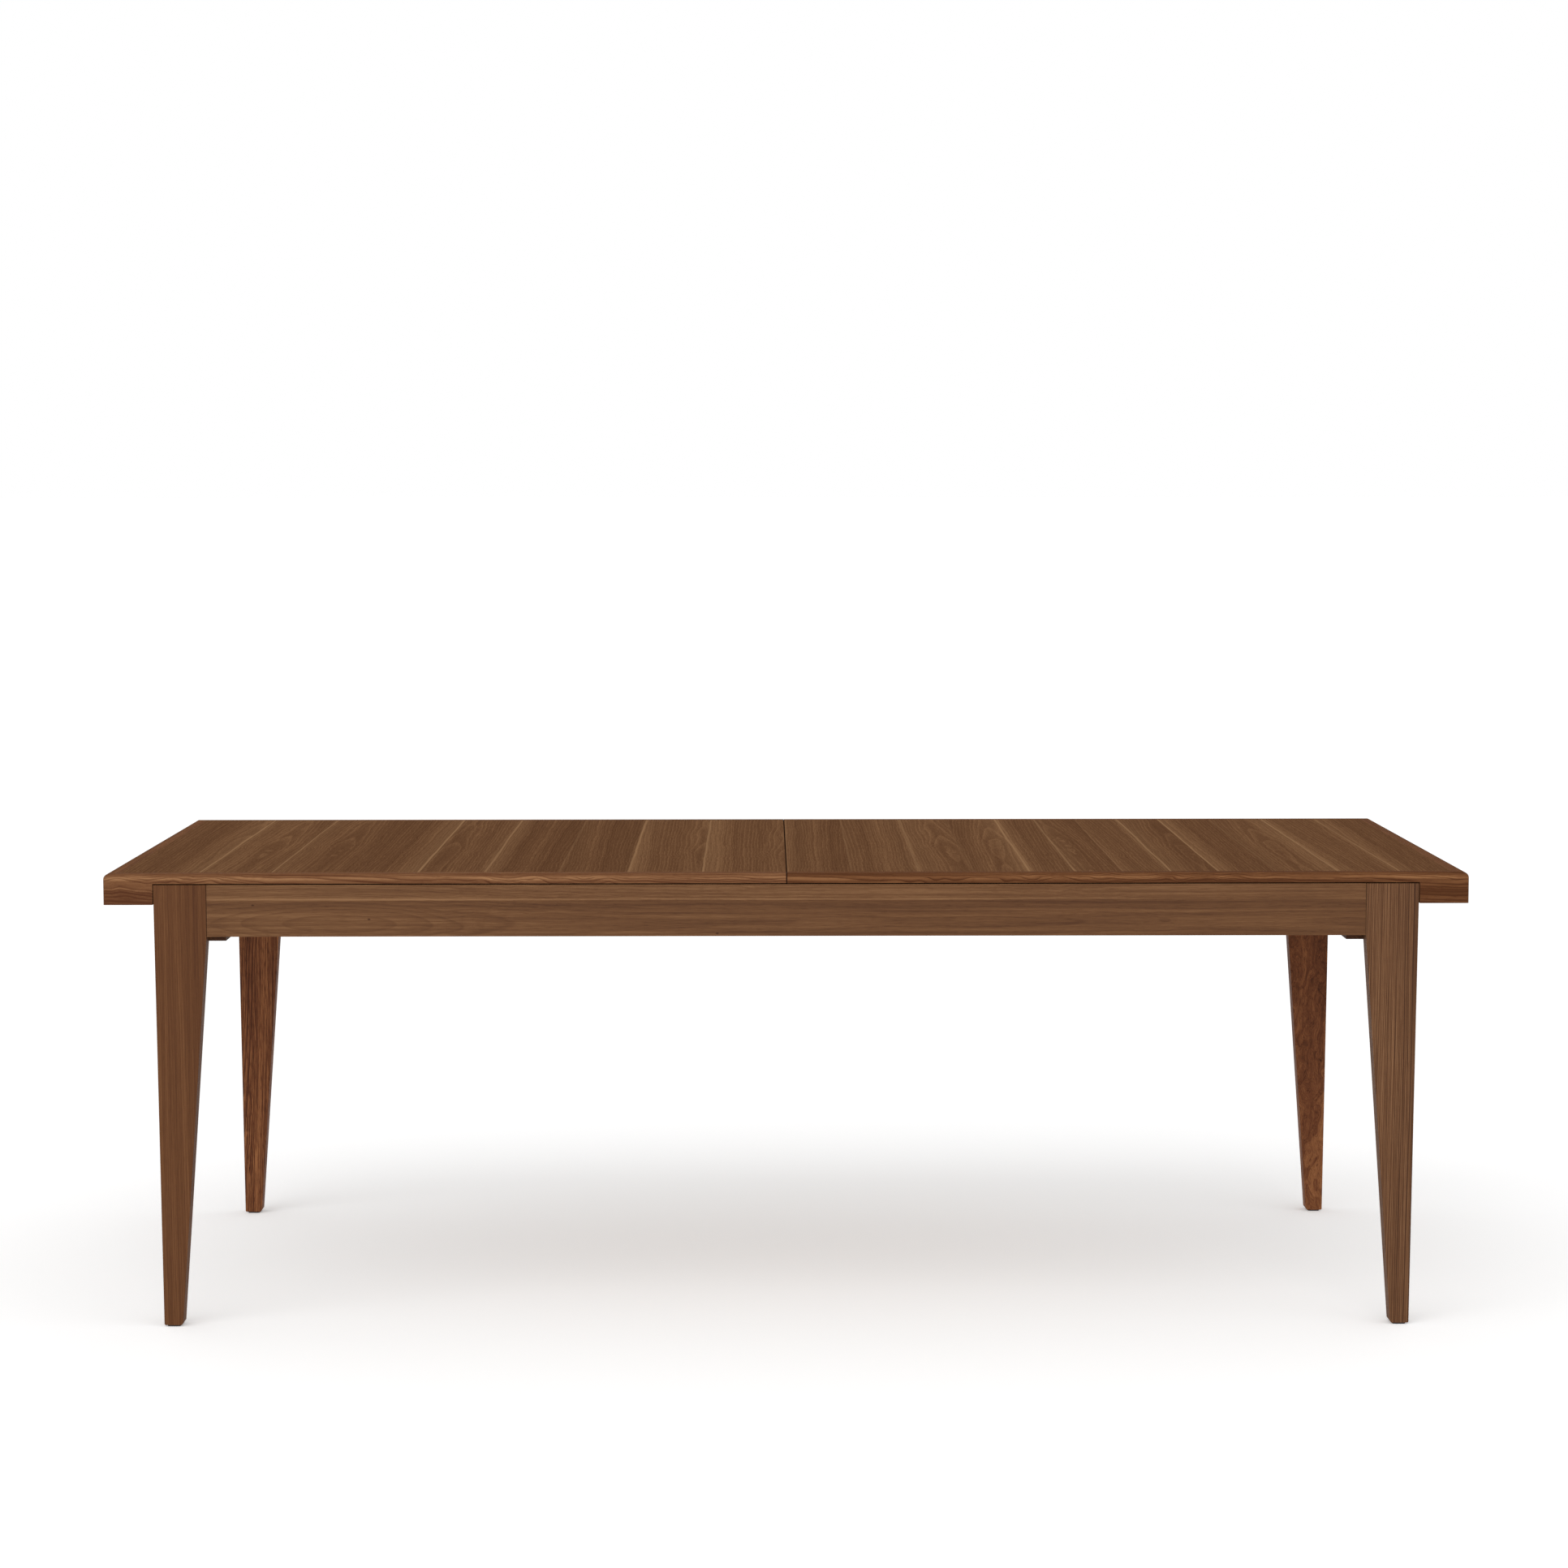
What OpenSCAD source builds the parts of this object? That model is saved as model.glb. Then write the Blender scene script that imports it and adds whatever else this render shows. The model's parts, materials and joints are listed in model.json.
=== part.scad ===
// Extending dining table in walnut, closed, standing on z = 0 at the origin.
// X runs along the length, Y from the front (negative) to the rear, Z up.
// The two halves of the top run apart on wooden slides. A pinion on each fixed
// guide meshes with a rack on each half, so both halves move alike. Two loose
// leaves are stored flat, one on the other, on bearers under the top.

/* [Table top] */
// Length with the top closed
table_l = 2200; // [2000:10:2400]
// Width
table_w = 950; // [880:10:1050]
// Height of the table top above the floor
table_h = 740; // [700:5:780]
// Thickness of the veneered boards and of the lippings beside them
top_t = 16; // [15:0.5:20]
// Width of the solid lippings round the top
lip_w = 24; // [18:1:30]
// Radius of the rounded arris along the lippings
arris_r = 9; // [4:0.5:12]
// Height of the deep end boards
end_board_h = 50; // [44:1:56]
// Thickness of the strip that builds the end boards up under the veneered board
build_up_t = 22; // [14:1:30]
// Gap at the seam between the two halves
seam_gap = 0.2; // [0.2:0.1:1.2]
// Size of the eased edges along the seam
seam_ease = 0.8; // [0.3:0.1:1.5]
// Gap between the top and the frame
top_gap = 2; // [1.5:0.5:4]

/* [Legs] */
// Width of a leg beside the rail, seen from the front
leg_w = 85; // [70:1:100]
// Width of a leg at the floor
foot_w = 30; // [26:1:50]
// Thickness of a leg, front to rear
leg_t = 32; // [28:1:40]
// How far a leg's outer edge leans inwards from the top to the floor
leg_lean = 8; // [0:1:16]
// Overhang of the top beyond the legs at each end
end_overhang = 80; // [70:1:110]
// Setback of the legs from the face of the lippings
leg_setback = 1; // [0.5:0.5:6]
// Height of the chamfer on a foot's inner corner
foot_chamfer = 3; // [2:0.5:8]
// Thickness of the glides under the feet
glide_t = 2.5; // [2:0.5:6]

/* [Rails] */
// Height of the side rails
side_rail_h = 84; // [76:1:100]
// Thickness of the side rails
side_rail_t = 24; // [20:1:28]
// Setback of the side rails from the face of the legs
rail_setback = 1; // [0:0.5:3]
// Shadow gap at the shoulders of the side rails
shoulder_gap = 0.6; // [0:0.1:1.2]
// Thickness of the end rails
end_rail_t = 28; // [24:1:34]
// How far the end rails reach below the side rails
end_rail_drop = 9.5; // [0:0.5:20]
// Length of the tenons on the side rails
tenon_l = 32; // [20:1:40]
// Thickness of the tenons
tenon_t = 10; // [8:1:12]
// Side of the triangular corner blocks
block_side = 55; // [45:1:70]

/* [Slides] */
// Travel of each half of the top
travel = 500; // [440:5:530]
// Height of the room for the slides over the end rails
slide_h = 48; // [46:1:54]
// Width of a runner
runner_w = 28; // [24:1:32]
// Height of the tongue that runs in a guide's groove
tongue_h = 10; // [8:1:12]
// How far the tongue stands out of the runner
tongue_d = 9; // [6:0.5:10]
// Running clearance round the tongue
tongue_play = 0.4; // [0.2:0.1:0.8]
// Clearance between the sides of a runner and its guide
side_play = 0.7; // [0.4:0.1:1.5]

/* [Gears] */
// Module of the pinions and racks
gear_module = 3; // [2.5:0.1:3.2]
// Teeth on a pinion
pinion_teeth = 16; // [14:2:18]
// Height of the teeth along the axle
gear_face = 10; // [8:1:12]
// Thinning of each tooth at the pitch line, for backlash
backlash = 0.35; // [0.2:0.05:0.6]
// Radius of the pinion axles
axle_r = 4; // [3:0.5:5]

/* [Loose leaves] */
// Width of the bearers that carry the stored leaves
bearer_w = 60; // [40:1:80]
// Thickness of the bearers
bearer_t = 18; // [14:1:20]
// Distance from the end of a stored leaf to the middle of a bearer
bearer_inset = 175; // [100:5:260]
// Radius of the seam pins
pin_r = 4; // [3:0.5:5]
// Length of a seam pin outside its board
pin_out = 12; // [8:1:16]
// Distance from a board's lipping to the outer seam pin
pin_inset = 131; // [80:1:180]
// Distance between the seam pins on one side
pin_pitch = 200; // [120:10:220]

/* [Hidden] */

WALNUT = "#70492f";
WALNUT_DARK = "#5c3a26";
BEECH = "#c9a77a";
STEEL = "#9a9da0";
NYLON = "#e8e4da";
FELT = "#4a4a48";

// Clearances shared by everything that fits
fit = 0.08;        // round a glued tenon, a screw or an axle
socket_fit = 0.15; // round a seam pin in its socket
seat_gap = 0.3;    // under a piece that rests and still moves
cut = 1;           // overshoot of a cutting solid past a face
leg_gap = 1;       // between a leg and the deep end of a lipping
guide_gap = 1;     // between a leg and the end of a guide

// Heights
board_z = table_h - top_t;
frame_z = board_z - top_gap;
end_board_z = table_h - end_board_h;
rail_z = frame_z - side_rail_h;
slide_z = frame_z - slide_h;
end_rail_z = rail_z - end_rail_drop;

// Lengths and widths, measured from the centre of the table
half_l = table_l / 2;
half_w = table_w / 2;
leg_out = half_l - end_overhang;
leg_in = leg_out - leg_w;
leg_face = half_w - leg_setback;
leg_back = leg_face - leg_t;
rail_face = leg_face - rail_setback;
rail_back = rail_face - side_rail_t;
end_rail_in = leg_in - end_rail_t;
deep_x = leg_out + leg_gap;

// Gears: full pitch radius, shortened rack tooth, standard root
pitch_r = gear_module * pinion_teeth / 2;
pressure_a = 20;
rack_addendum = 0.9 * gear_module;
gear_addendum = gear_module;
dedendum = 1.25 * gear_module;
rack_back = 5;
base_r = pitch_r * cos(pressure_a);
tip_r = pitch_r + gear_addendum;
root_r = pitch_r - dedendum;
tooth_pitch = PI * gear_module;
gear_rise = 7;     // from the end rails to the underside of the teeth
gear_z = slide_z + gear_rise;
gear_gap = 0.5;
hub_r = 9;
rim_t = 3;
web_sink = 2;
axle_grip = 7;     // how far an axle goes into the guide over the pinion

// Slides: runner face, guide and lanes
face_off = pitch_r - rack_addendum;
guide_half = face_off - side_play;
leg_play = 1.7;
guide_y = leg_back - leg_play - runner_w - face_off;
runner_z = slide_z + 1.5;
tongue_drop = 11;  // wood over the groove in a guide
tongue_z = frame_z - tongue_drop - tongue_h;
relief = 0.8;      // what a runner's top is lowered by under the other half
relief_x = 40;
board_end_gap = 4; // from a runner to the built-up end of its board
runner_end = half_l - lip_w - build_up_t - board_end_gap;
end_slope = [50, 24];
rack_n = ceil((travel + tip_r) / tooth_pitch) + 2;
rack_from = -2 * tooth_pitch;
rack_to = rack_from + rack_n * tooth_pitch;
tail_wood = 8;     // behind the last rack tooth
runner_tail = rack_to + tail_wood;
peg_r = 4;
peg_play = 0.5;    // left between the peg and the leg at full travel
peg_drop = 20;
peg_x = leg_in - travel - peg_r - peg_play;
peg_z = frame_z - peg_drop;

// Screws: head radius, head height, shank radius
screw_head = [4.5, 3.5, 2.2];
screw_rim = 1;
screw_point = 4;
screw_side = 0.5;
screw_bite = 12;   // how far a runner's screws reach into its board
runner_screw_l = 34;
runner_screw_n = 5;
runner_screw_from = 80;
runner_screw_to = runner_end - end_slope[0] - 40;
runner_screw_pitch = (runner_screw_to - runner_screw_from) / (runner_screw_n - 1);
block_screw_l = 27;
block_screw_in = 36;
block_sink = 6;
block_screw_edge = 10;
guide_screw_l = 56;
guide_sink = 20;

// Loose leaves: two fill the opening, with a seam gap on both sides of each
leaf_l = travel - seam_gap;
felt_t = 3;
felt_l = 40;
felt_margin = 5;
felt_inset = 60;   // from the side of a leaf to the middle of a felt
spacer_t = 2;
spacer_r = 10;
bearer_rise = 8;
bearer_x = half_w - bearer_inset;
bearer_z = rail_z + bearer_rise;
housing_d = 8;
lower_leaf_z = bearer_z + bearer_t + felt_t + seat_gap;
upper_leaf_z = lower_leaf_z + top_t + spacer_t + seat_gap;
stop_t = 15;
stop_play = 1.5;
pin_in = 20;
socket_end = 2;    // free room at the bottom of a pin's socket

$fn = 48;

// A flat outline in X and Z, as deep as t along Y from y0
module side_slab(points, y0, t) {
  translate([0, y0 + t, 0])
    rotate([90, 0, 0])
      linear_extrude(t)
        polygon(points);
}

// A box from its lowest to its highest corner
module span(low, high) {
  translate(low)
    cube(high - low);
}

module turned() {
  rotate([0, 0, 180])
    children();
}

// A round bar along X or Y, from a point
module bar_x(r, l) {
  rotate([0, 90, 0])
    cylinder(r = r, h = l);
}

module bar_y(r, l) {
  rotate([-90, 0, 0])
    cylinder(r = r, h = l);
}

// What a quarter-round takes off a square edge that lies along X at the origin,
// with the wood below it and towards +Y
module arris_waste(l, r) {
  difference() {
    translate([0, -cut, -r])
      cube([l, r + cut, r + cut]);
    translate([-cut, r, -r])
      bar_x(r, l + 2 * cut);
  }
}

// Wood screw pointing along +Z, its head's face at the origin
module screw(l) {
  rotate_extrude()
    polygon([[0, 0], [screw_head[0], 0], [screw_head[0], screw_rim],
             [screw_head[2], screw_head[1]], [screw_head[2], l - screw_point], [0, l]]);
}

// The hole for it: a counterbore of the depth sink, the head's seat and the shank
module screw_hole(l, sink) {
  translate([0, 0, -sink])
    cylinder(r = screw_head[0] + screw_side, h = sink + screw_head[1]);
  cylinder(r = screw_head[2] + fit, h = l + fit);
}

// Legs and rails

function leg_outer(z) = leg_out - leg_lean * (frame_z - z) / frame_z;
function leg_inner(z) = leg_outer(0) - foot_w
  - (leg_outer(0) - foot_w - leg_in) * min(z, rail_z) / rail_z;

// Place a right rear piece at any corner: sx and sy are 1 or -1
module corner(sx, sy) {
  mirror([sx < 0 ? 1 : 0, 0, 0])
    mirror([0, sy < 0 ? 1 : 0, 0])
      children();
}

module all_corners() {
  for (sx = [-1, 1], sy = [-1, 1])
    corner(sx, sy)
      children();
}

foot_x = (leg_inner(0) + leg_outer(0)) / 2;
foot_slope = 0.7;  // width of a foot's inner chamfer over its height
stem_r = 4;
stem_h = 14;
glide_margin = 2;
tenon_edge = 12;
tenon_z = [rail_z + tenon_edge, frame_z - tenon_edge];
rail_mid = rail_face - side_rail_t / 2;

module leg(sx, sy) {
  outer_cut = foot_chamfer / 2;
  color(WALNUT)
    corner(sx, sy)
      difference() {
        side_slab([
          [leg_out, frame_z],
          [leg_in, frame_z],
          [leg_in, rail_z],
          [leg_inner(glide_t + foot_chamfer), glide_t + foot_chamfer],
          [leg_inner(glide_t) + foot_chamfer * foot_slope, glide_t],
          [leg_outer(glide_t) - outer_cut, glide_t],
          [leg_outer(glide_t + outer_cut), glide_t + outer_cut]
        ], leg_back, leg_t);
        span([leg_in - cut, rail_mid - tenon_t / 2 - fit, tenon_z[0] - fit],
             [leg_in + tenon_l + fit, rail_mid + tenon_t / 2 + fit, tenon_z[1] + fit]);
        translate([foot_x, leg_back + leg_t / 2, 0])
          cylinder(r = stem_r + fit, h = glide_t + stem_h + fit);
      }
}

// Nylon pads with a stem that is knocked into the foot
module foot_glides() {
  glide_w = foot_w - 2 * foot_chamfer - glide_margin;
  glide_l = leg_t - 2 * glide_margin;
  color(FELT)
    all_corners()
      translate([foot_x, leg_back + leg_t / 2, 0]) {
        translate([-glide_w / 2, -glide_l / 2, 0])
          cube([glide_w, glide_l, glide_t]);
        cylinder(r = stem_r, h = glide_t + stem_h);
      }
}

// Stub tenons of the end rails: thickness and length, then their wood above and below
end_tenon = [14, 12];
end_tenon_edge = 6;
end_tenon_z = [rail_z + end_tenon_edge, slide_z - end_tenon_edge];
end_rail_mid = leg_in - end_rail_t / 2;

module side_rail(sy) {
  color(WALNUT)
    corner(1, sy)
      difference() {
        union() {
          span([shoulder_gap - leg_in, rail_back, rail_z], [leg_in - shoulder_gap, rail_face, frame_z]);
          span([-leg_in - tenon_l, rail_mid - tenon_t / 2, tenon_z[0]],
               [leg_in + tenon_l, rail_mid + tenon_t / 2, tenon_z[1]]);
        }
        for (sx = [-1, 1]) {
          // Mortise for the end rail's stub tenon
          span([sx * end_rail_mid - end_tenon[0] / 2 - fit, rail_back - cut, end_tenon_z[0] - fit],
               [sx * end_rail_mid + end_tenon[0] / 2 + fit, rail_back + end_tenon[1] + fit,
                end_tenon_z[1] + fit]);
          // Housing for a bearer
          span([sx * bearer_x - bearer_w / 2 - fit, rail_back - cut, bearer_z - fit],
               [sx * bearer_x + bearer_w / 2 + fit, rail_back + housing_d + fit,
                bearer_z + bearer_t + fit]);
          corner(sx, 1)
            block_screw_side()
              screw_hole(block_screw_l, block_sink);
        }
      }
}

pad_margin = 2;
pad_l = end_rail_t - 2 * pad_margin;
pad_w = runner_w - 2 * pad_margin;
pad_t = 3;
pad_z = runner_z - seat_gap - pad_t;

module end_rail(sx) {
  color(WALNUT_DARK)
    corner(sx, 1)
      difference() {
        union() {
          span([end_rail_in, -rail_back, end_rail_z], [leg_in, rail_back, slide_z]);
          span([end_rail_mid - end_tenon[0] / 2, -rail_back - end_tenon[1], end_tenon_z[0]],
               [end_rail_mid + end_tenon[0] / 2, rail_back + end_tenon[1], end_tenon_z[1]]);
        }
        // The pads lie where this end's own runners pass, a half-turn alike
        mirror([0, sx > 0 ? 0 : 1, 0])
          pad_places()
            translate([-pad_l / 2 - fit, -pad_w / 2 - fit, pad_z])
              cube([pad_l + 2 * fit, pad_w + 2 * fit, pad_t + cut]);
        for (sy = [-1, 1])
          corner(1, sy) {
            block_screw_end()
              screw_hole(block_screw_l, block_sink);
            guide_screw_place()
              screw_hole(guide_screw_l, 0);
          }
      }
}

// Where the right half's two runners cross the right end rail
module pad_places() {
  for (sy = [-1, 1])
    translate([end_rail_mid, sy * guide_y + face_off + runner_w / 2, 0])
      children();
}

module slide_pads() {
  color(NYLON)
    for (a = [0, 180])
      rotate([0, 0, a])
        pad_places()
          translate([-pad_l / 2, -pad_w / 2, pad_z])
            cube([pad_l, pad_w, pad_t]);
}

// Corner blocks stand in the corner of an end rail and a side rail
block_edge = 3;
block_z = [rail_z + block_edge, slide_z - block_edge];

module block_screw_end() {
  translate([end_rail_in - block_side + block_screw_in + block_sink,
             rail_back - block_screw_in, block_z[0] + block_screw_edge])
    rotate([0, 90, 0])
      children();
}

module block_screw_side() {
  translate([end_rail_in - block_screw_in,
             rail_back - block_side + block_screw_in + block_sink, block_z[1] - block_screw_edge])
    rotate([-90, 0, 0])
      children();
}

module corner_blocks() {
  color(BEECH)
    all_corners()
      difference() {
        translate([0, 0, block_z[0]])
          linear_extrude(block_z[1] - block_z[0])
            polygon([[end_rail_in, rail_back], [end_rail_in - block_side, rail_back],
                     [end_rail_in, rail_back - block_side]]);
        block_screw_end()
          screw_hole(block_screw_l, block_side);
        block_screw_side()
          screw_hole(block_screw_l, block_side);
      }
}

module corner_screws() {
  color(STEEL)
    all_corners() {
      block_screw_end()
        screw(block_screw_l);
      block_screw_side()
        screw(block_screw_l);
    }
}

// Fixed guides, screwed down on both end rails

guide_end = leg_in - guide_gap;
guide_top = frame_z - gear_gap;

module guide_screw_place() {
  translate([end_rail_mid, guide_y, frame_z - guide_sink])
    rotate([180, 0, 0])
      children();
}

module guide(sy) {
  color(BEECH)
    corner(1, sy)
      difference() {
        span([-guide_end, guide_y - guide_half, slide_z],
             [guide_end, guide_y + guide_half, guide_top]);
        for (side = [-1, 1])
          translate([0, guide_y + side * face_off, 0])
            span([-guide_end - cut, -tongue_d - side_play, tongue_z - tongue_play],
                 [guide_end + cut, tongue_d + side_play, tongue_z + tongue_h + tongue_play]);
        // Slot for the pinion and bore for its axle
        span([-tip_r - cut, guide_y - guide_half - cut, gear_z - gear_gap],
             [tip_r + cut, guide_y + guide_half + cut, gear_z + gear_face + gear_gap]);
        axle_place()
          axle_hole();
        for (sx = [-1, 1])
          corner(sx, 1)
            guide_screw_place()
              screw_hole(guide_screw_l, guide_sink);
      }
}

module guide_screws() {
  color(STEEL)
    all_corners()
      guide_screw_place()
        screw(guide_screw_l);
}

// Headed axles, pushed up from below through the guide and the pinion
axle_head = [7, 2.5];
axle_l = gear_z + gear_face + axle_grip - slide_z;

module axle_place() {
  translate([0, guide_y, slide_z])
    children();
}

module axle_hole() {
  translate([0, 0, -cut])
    cylinder(r = axle_head[0] + fit, h = axle_head[1] + cut);
  cylinder(r = axle_r + fit, h = axle_l + fit);
}

module pinion_axles() {
  color(STEEL)
    for (sy = [-1, 1])
      corner(1, sy)
        axle_place() {
          cylinder(r = axle_head[0], h = axle_head[1]);
          cylinder(r = axle_r, h = axle_l);
        }
}

// Pinion with involute teeth: a flank's angle from the tooth's middle falls off
// with the involute of its pressure angle at that radius

function involute(a) = tan(a) * 180 / PI - a;
function flank_angle(r) = (tooth_pitch / 2 - backlash) / 2 / pitch_r * 180 / PI
  + involute(pressure_a) - involute(acos(min(1, base_r / r)));
function polar(r, a) = [r * cos(a), r * sin(a)];

flank_steps = 6;
root_rise = 0.1;   // least height of a flank's foot over the root circle
foot_r = max(base_r, root_r + root_rise);
flank_radii = [for (i = [0 : flank_steps]) foot_r + (tip_r - foot_r) * i / flank_steps];

function tooth(c) = concat(
  [polar(root_r, c - flank_angle(foot_r))],
  [for (i = [0 : flank_steps]) polar(flank_radii[i], c - flank_angle(flank_radii[i]))],
  [for (i = [flank_steps : -1 : 0]) polar(flank_radii[i], c + flank_angle(flank_radii[i]))],
  [polar(root_r, c + flank_angle(foot_r))]
);

module pinion(sy) {
  color(NYLON)
    translate([0, sy * guide_y, gear_z])
      difference() {
        linear_extrude(gear_face)
          polygon([for (i = [0 : pinion_teeth - 1]) each tooth(90 + i * 360 / pinion_teeth)]);
        translate([0, 0, -cut])
          cylinder(r = axle_r + fit, h = gear_face + 2 * cut);
        // Thinned web between the hub and the rim
        for (z = [-cut, gear_face - web_sink])
          translate([0, 0, z])
            difference() {
              cylinder(r = root_r - rim_t, h = web_sink + cut);
              translate([0, 0, -cut])
                cylinder(r = hub_r, h = web_sink + 3 * cut);
            }
      }
}

// Rack: straight-sided teeth towards +Y, with the pitch line at y = 0 and a
// tooth space at x = 0

function rack_half(y) = (tooth_pitch / 2 - backlash) / 2 - y * tan(pressure_a);

module rack() {
  linear_extrude(gear_face)
    polygon(concat(
      [[rack_to, -dedendum - rack_back], [rack_from, -dedendum - rack_back], [rack_from, -dedendum]],
      [for (i = [0 : rack_n - 1])
        let (c = rack_from + (i + 0.5) * tooth_pitch)
          each [[c - rack_half(-dedendum), -dedendum], [c - rack_half(rack_addendum), rack_addendum],
                [c + rack_half(rack_addendum), rack_addendum], [c + rack_half(-dedendum), -dedendum]]],
      [[rack_to, -dedendum]]
    ));
}

// The left half of the top. The right half is the same, turned round by 180
// degrees. Both of the left half's runners lie on the -Y side of their guides.

outer_pin_y = half_w - lip_w - pin_inset;
pin_ys = [outer_pin_y - pin_pitch, outer_pin_y];
pin_z = table_h - top_t / 2;
seam_x = seam_gap / 2;

function screw_x(i) = runner_screw_from + i * runner_screw_pitch;

module lane(sy) {
  translate([0, sy * guide_y - face_off - runner_w, 0])
    children();
}

module lane_places() {
  for (sy = [-1, 1])
    lane(sy)
      children();
}

module runner_screw_places() {
  for (i = [0 : runner_screw_n - 1])
    translate([-screw_x(i), runner_w / 2, board_z + screw_bite - runner_screw_l])
      children();
}

// Pins leave a board's edge at x = 0 towards +X on the front side. Sockets for
// the next board's pins lie on the rear side.
module pin_holes() {
  for (y = pin_ys) {
    translate([-pin_in - fit, -y, pin_z])
      bar_x(pin_r + fit, pin_in + cut);
    translate([-pin_out - socket_end, y, pin_z])
      bar_x(pin_r + socket_fit, pin_out + socket_end + cut);
  }
}

module pins() {
  for (y = pin_ys)
    translate([-pin_in, -y, pin_z]) {
      bar_x(pin_r, pin_in + pin_out - pin_r);
      translate([pin_in + pin_out - pin_r, 0, 0])
        sphere(r = pin_r);
    }
}

// What easing takes off the upper edge at a seam: a chamfer along Y through the
// origin, with the wood below it and towards -X
module seam_waste() {
  side_slab([[-seam_ease - cut, cut], [cut, -seam_ease - cut], [cut, cut]],
            -half_w - cut, table_w + 2 * cut);
}

module board() {
  color(WALNUT)
    difference() {
      span([-half_l + lip_w, -half_w + lip_w, board_z], [-seam_x, half_w - lip_w, table_h]);
      translate([-seam_x, 0, 0])
        pin_holes();
      translate([-seam_x, 0, table_h])
        seam_waste();
      lane_places()
        runner_screw_places()
          screw_hole(runner_screw_l, 0);
    }
}

// Mitred to the end board at 45 degrees in plan, and deep beyond the leg
module lip(sy) {
  color(WALNUT)
    mirror([0, sy > 0 ? 1 : 0, 0])
      difference() {
        side_slab([
          [-seam_x, table_h], [-half_l, table_h], [-half_l, end_board_z],
          [-deep_x, end_board_z], [-deep_x, board_z], [-seam_x, board_z]
        ], -half_w, lip_w);
        translate([-half_l - cut, -half_w, table_h])
          arris_waste(half_l + cut, arris_r);
        translate([-seam_x, 0, table_h])
          seam_waste();
        mitre_waste();
      }
}

// Everything on the end board's side of the mitre at the front corner
module mitre_waste() {
  reach = lip_w + cut;
  translate([-half_l, -half_w, end_board_z - cut])
    linear_extrude(end_board_h + 2 * cut)
      polygon([[-cut, -cut], [-cut, reach], [reach, reach]]);
}

// Solid lipping over its whole height, with a strip built up under the board
module end_board() {
  color(WALNUT_DARK)
    difference() {
      intersection() {
        side_slab([
          [-half_l, table_h], [-half_l, end_board_z], [-half_l + lip_w + build_up_t, end_board_z],
          [-half_l + lip_w + build_up_t, board_z], [-half_l + lip_w, board_z], [-half_l + lip_w, table_h]
        ], -half_w, table_w);
        end_board_plan();
      }
      translate([-half_l, half_w + cut, table_h])
        rotate([0, 0, -90])
          arris_waste(table_w + 2 * cut, arris_r);
    }
}

module end_board_plan() {
  inner_x = -half_l + lip_w + build_up_t + cut;
  lip_x = -half_l + lip_w;
  inner_y = half_w - lip_w;
  translate([0, 0, end_board_z - cut])
    linear_extrude(end_board_h + 2 * cut)
      polygon([[-half_l, -half_w], [lip_x, -inner_y], [inner_x, -inner_y],
               [inner_x, inner_y], [lip_x, inner_y], [-half_l, half_w]]);
}

// Runner with its tongue, rack groove, relief under the other half and a
// sloping outer end. Its corner at the lane's origin is its outer side.
module runner(has_peg) {
  color(BEECH)
    difference() {
      union() {
        side_slab([
          [-runner_end, board_z], [-relief_x, board_z], [-relief_x, board_z - relief],
          [runner_tail, board_z - relief], [runner_tail, runner_z],
          [-runner_end + end_slope[0], runner_z], [-runner_end, runner_z + end_slope[1]]
        ], 0, runner_w);
        span([-runner_end + end_slope[0], runner_w - cut, tongue_z],
             [runner_tail, runner_w + tongue_d, tongue_z + tongue_h]);
      }
      span([rack_from - fit, runner_w - rack_addendum - dedendum - rack_back - fit,
            gear_z - gear_gap],
           [runner_tail + cut, runner_w + cut, gear_z + gear_face + gear_gap]);
      runner_screw_places()
        screw_hole(runner_screw_l, slide_h);
      if (has_peg)
        peg_place()
          bar_y(peg_r + fit, peg_in + fit + cut);
    }
}

// Hardwood peg that meets the leg when the half is fully out
peg_in = 14;
peg_gap = 2;
peg_out = rail_back - peg_gap - (guide_y + face_off + runner_w);

module peg_place() {
  translate([-peg_x, -cut, peg_z])
    children();
}

module stop_peg() {
  color(WALNUT_DARK)
    translate([-peg_x, -guide_y - face_off - runner_w - peg_out, peg_z])
      bar_y(peg_r, peg_out + peg_in);
}

module racks() {
  color(NYLON)
    for (y = [-guide_y, guide_y])
      translate([0, y - pitch_r, gear_z])
        rack();
}

module runner_screws() {
  color(STEEL)
    lane_places()
      runner_screw_places()
        screw(runner_screw_l);
}

module seam_pins() {
  color(STEEL)
    translate([-seam_x, 0, 0])
      pins();
}

// Bearers in housings in both side rails, with felts and end stops for the leaves

module leaf_bearer(sx) {
  color(BEECH)
    span([sx * bearer_x - bearer_w / 2, -rail_back - housing_d, bearer_z],
         [sx * bearer_x + bearer_w / 2, rail_back + housing_d, bearer_z + bearer_t]);
}

module bearer_felts() {
  felt_w = bearer_w - 2 * felt_margin;
  color(FELT)
    all_corners()
      translate([bearer_x - felt_w / 2, leaf_l / 2 - felt_inset - felt_l / 2, bearer_z + bearer_t])
        cube([felt_w, felt_l, felt_t]);
}

module leaf_stops() {
  stop_y = leaf_l / 2 + pin_out + stop_play;
  color(BEECH)
    all_corners()
      span([bearer_x - bearer_w / 2, stop_y, bearer_z + bearer_t],
           [bearer_x + bearer_w / 2, stop_y + stop_t, lower_leaf_z + top_t]);
}

// A loose leaf as it lies in the top, moved down to its place in the stack and
// turned by 90 degrees to lie along the table
module stored(z) {
  rotate([0, 0, 90])
    translate([0, 0, z - board_z])
      children();
}

// Place what belongs at a seam at x = 0 at both of a leaf's seams
module leaf_ends() {
  for (a = [0, 180])
    rotate([0, 0, a])
      translate([leaf_l / 2, 0, 0])
        children();
}

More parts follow.
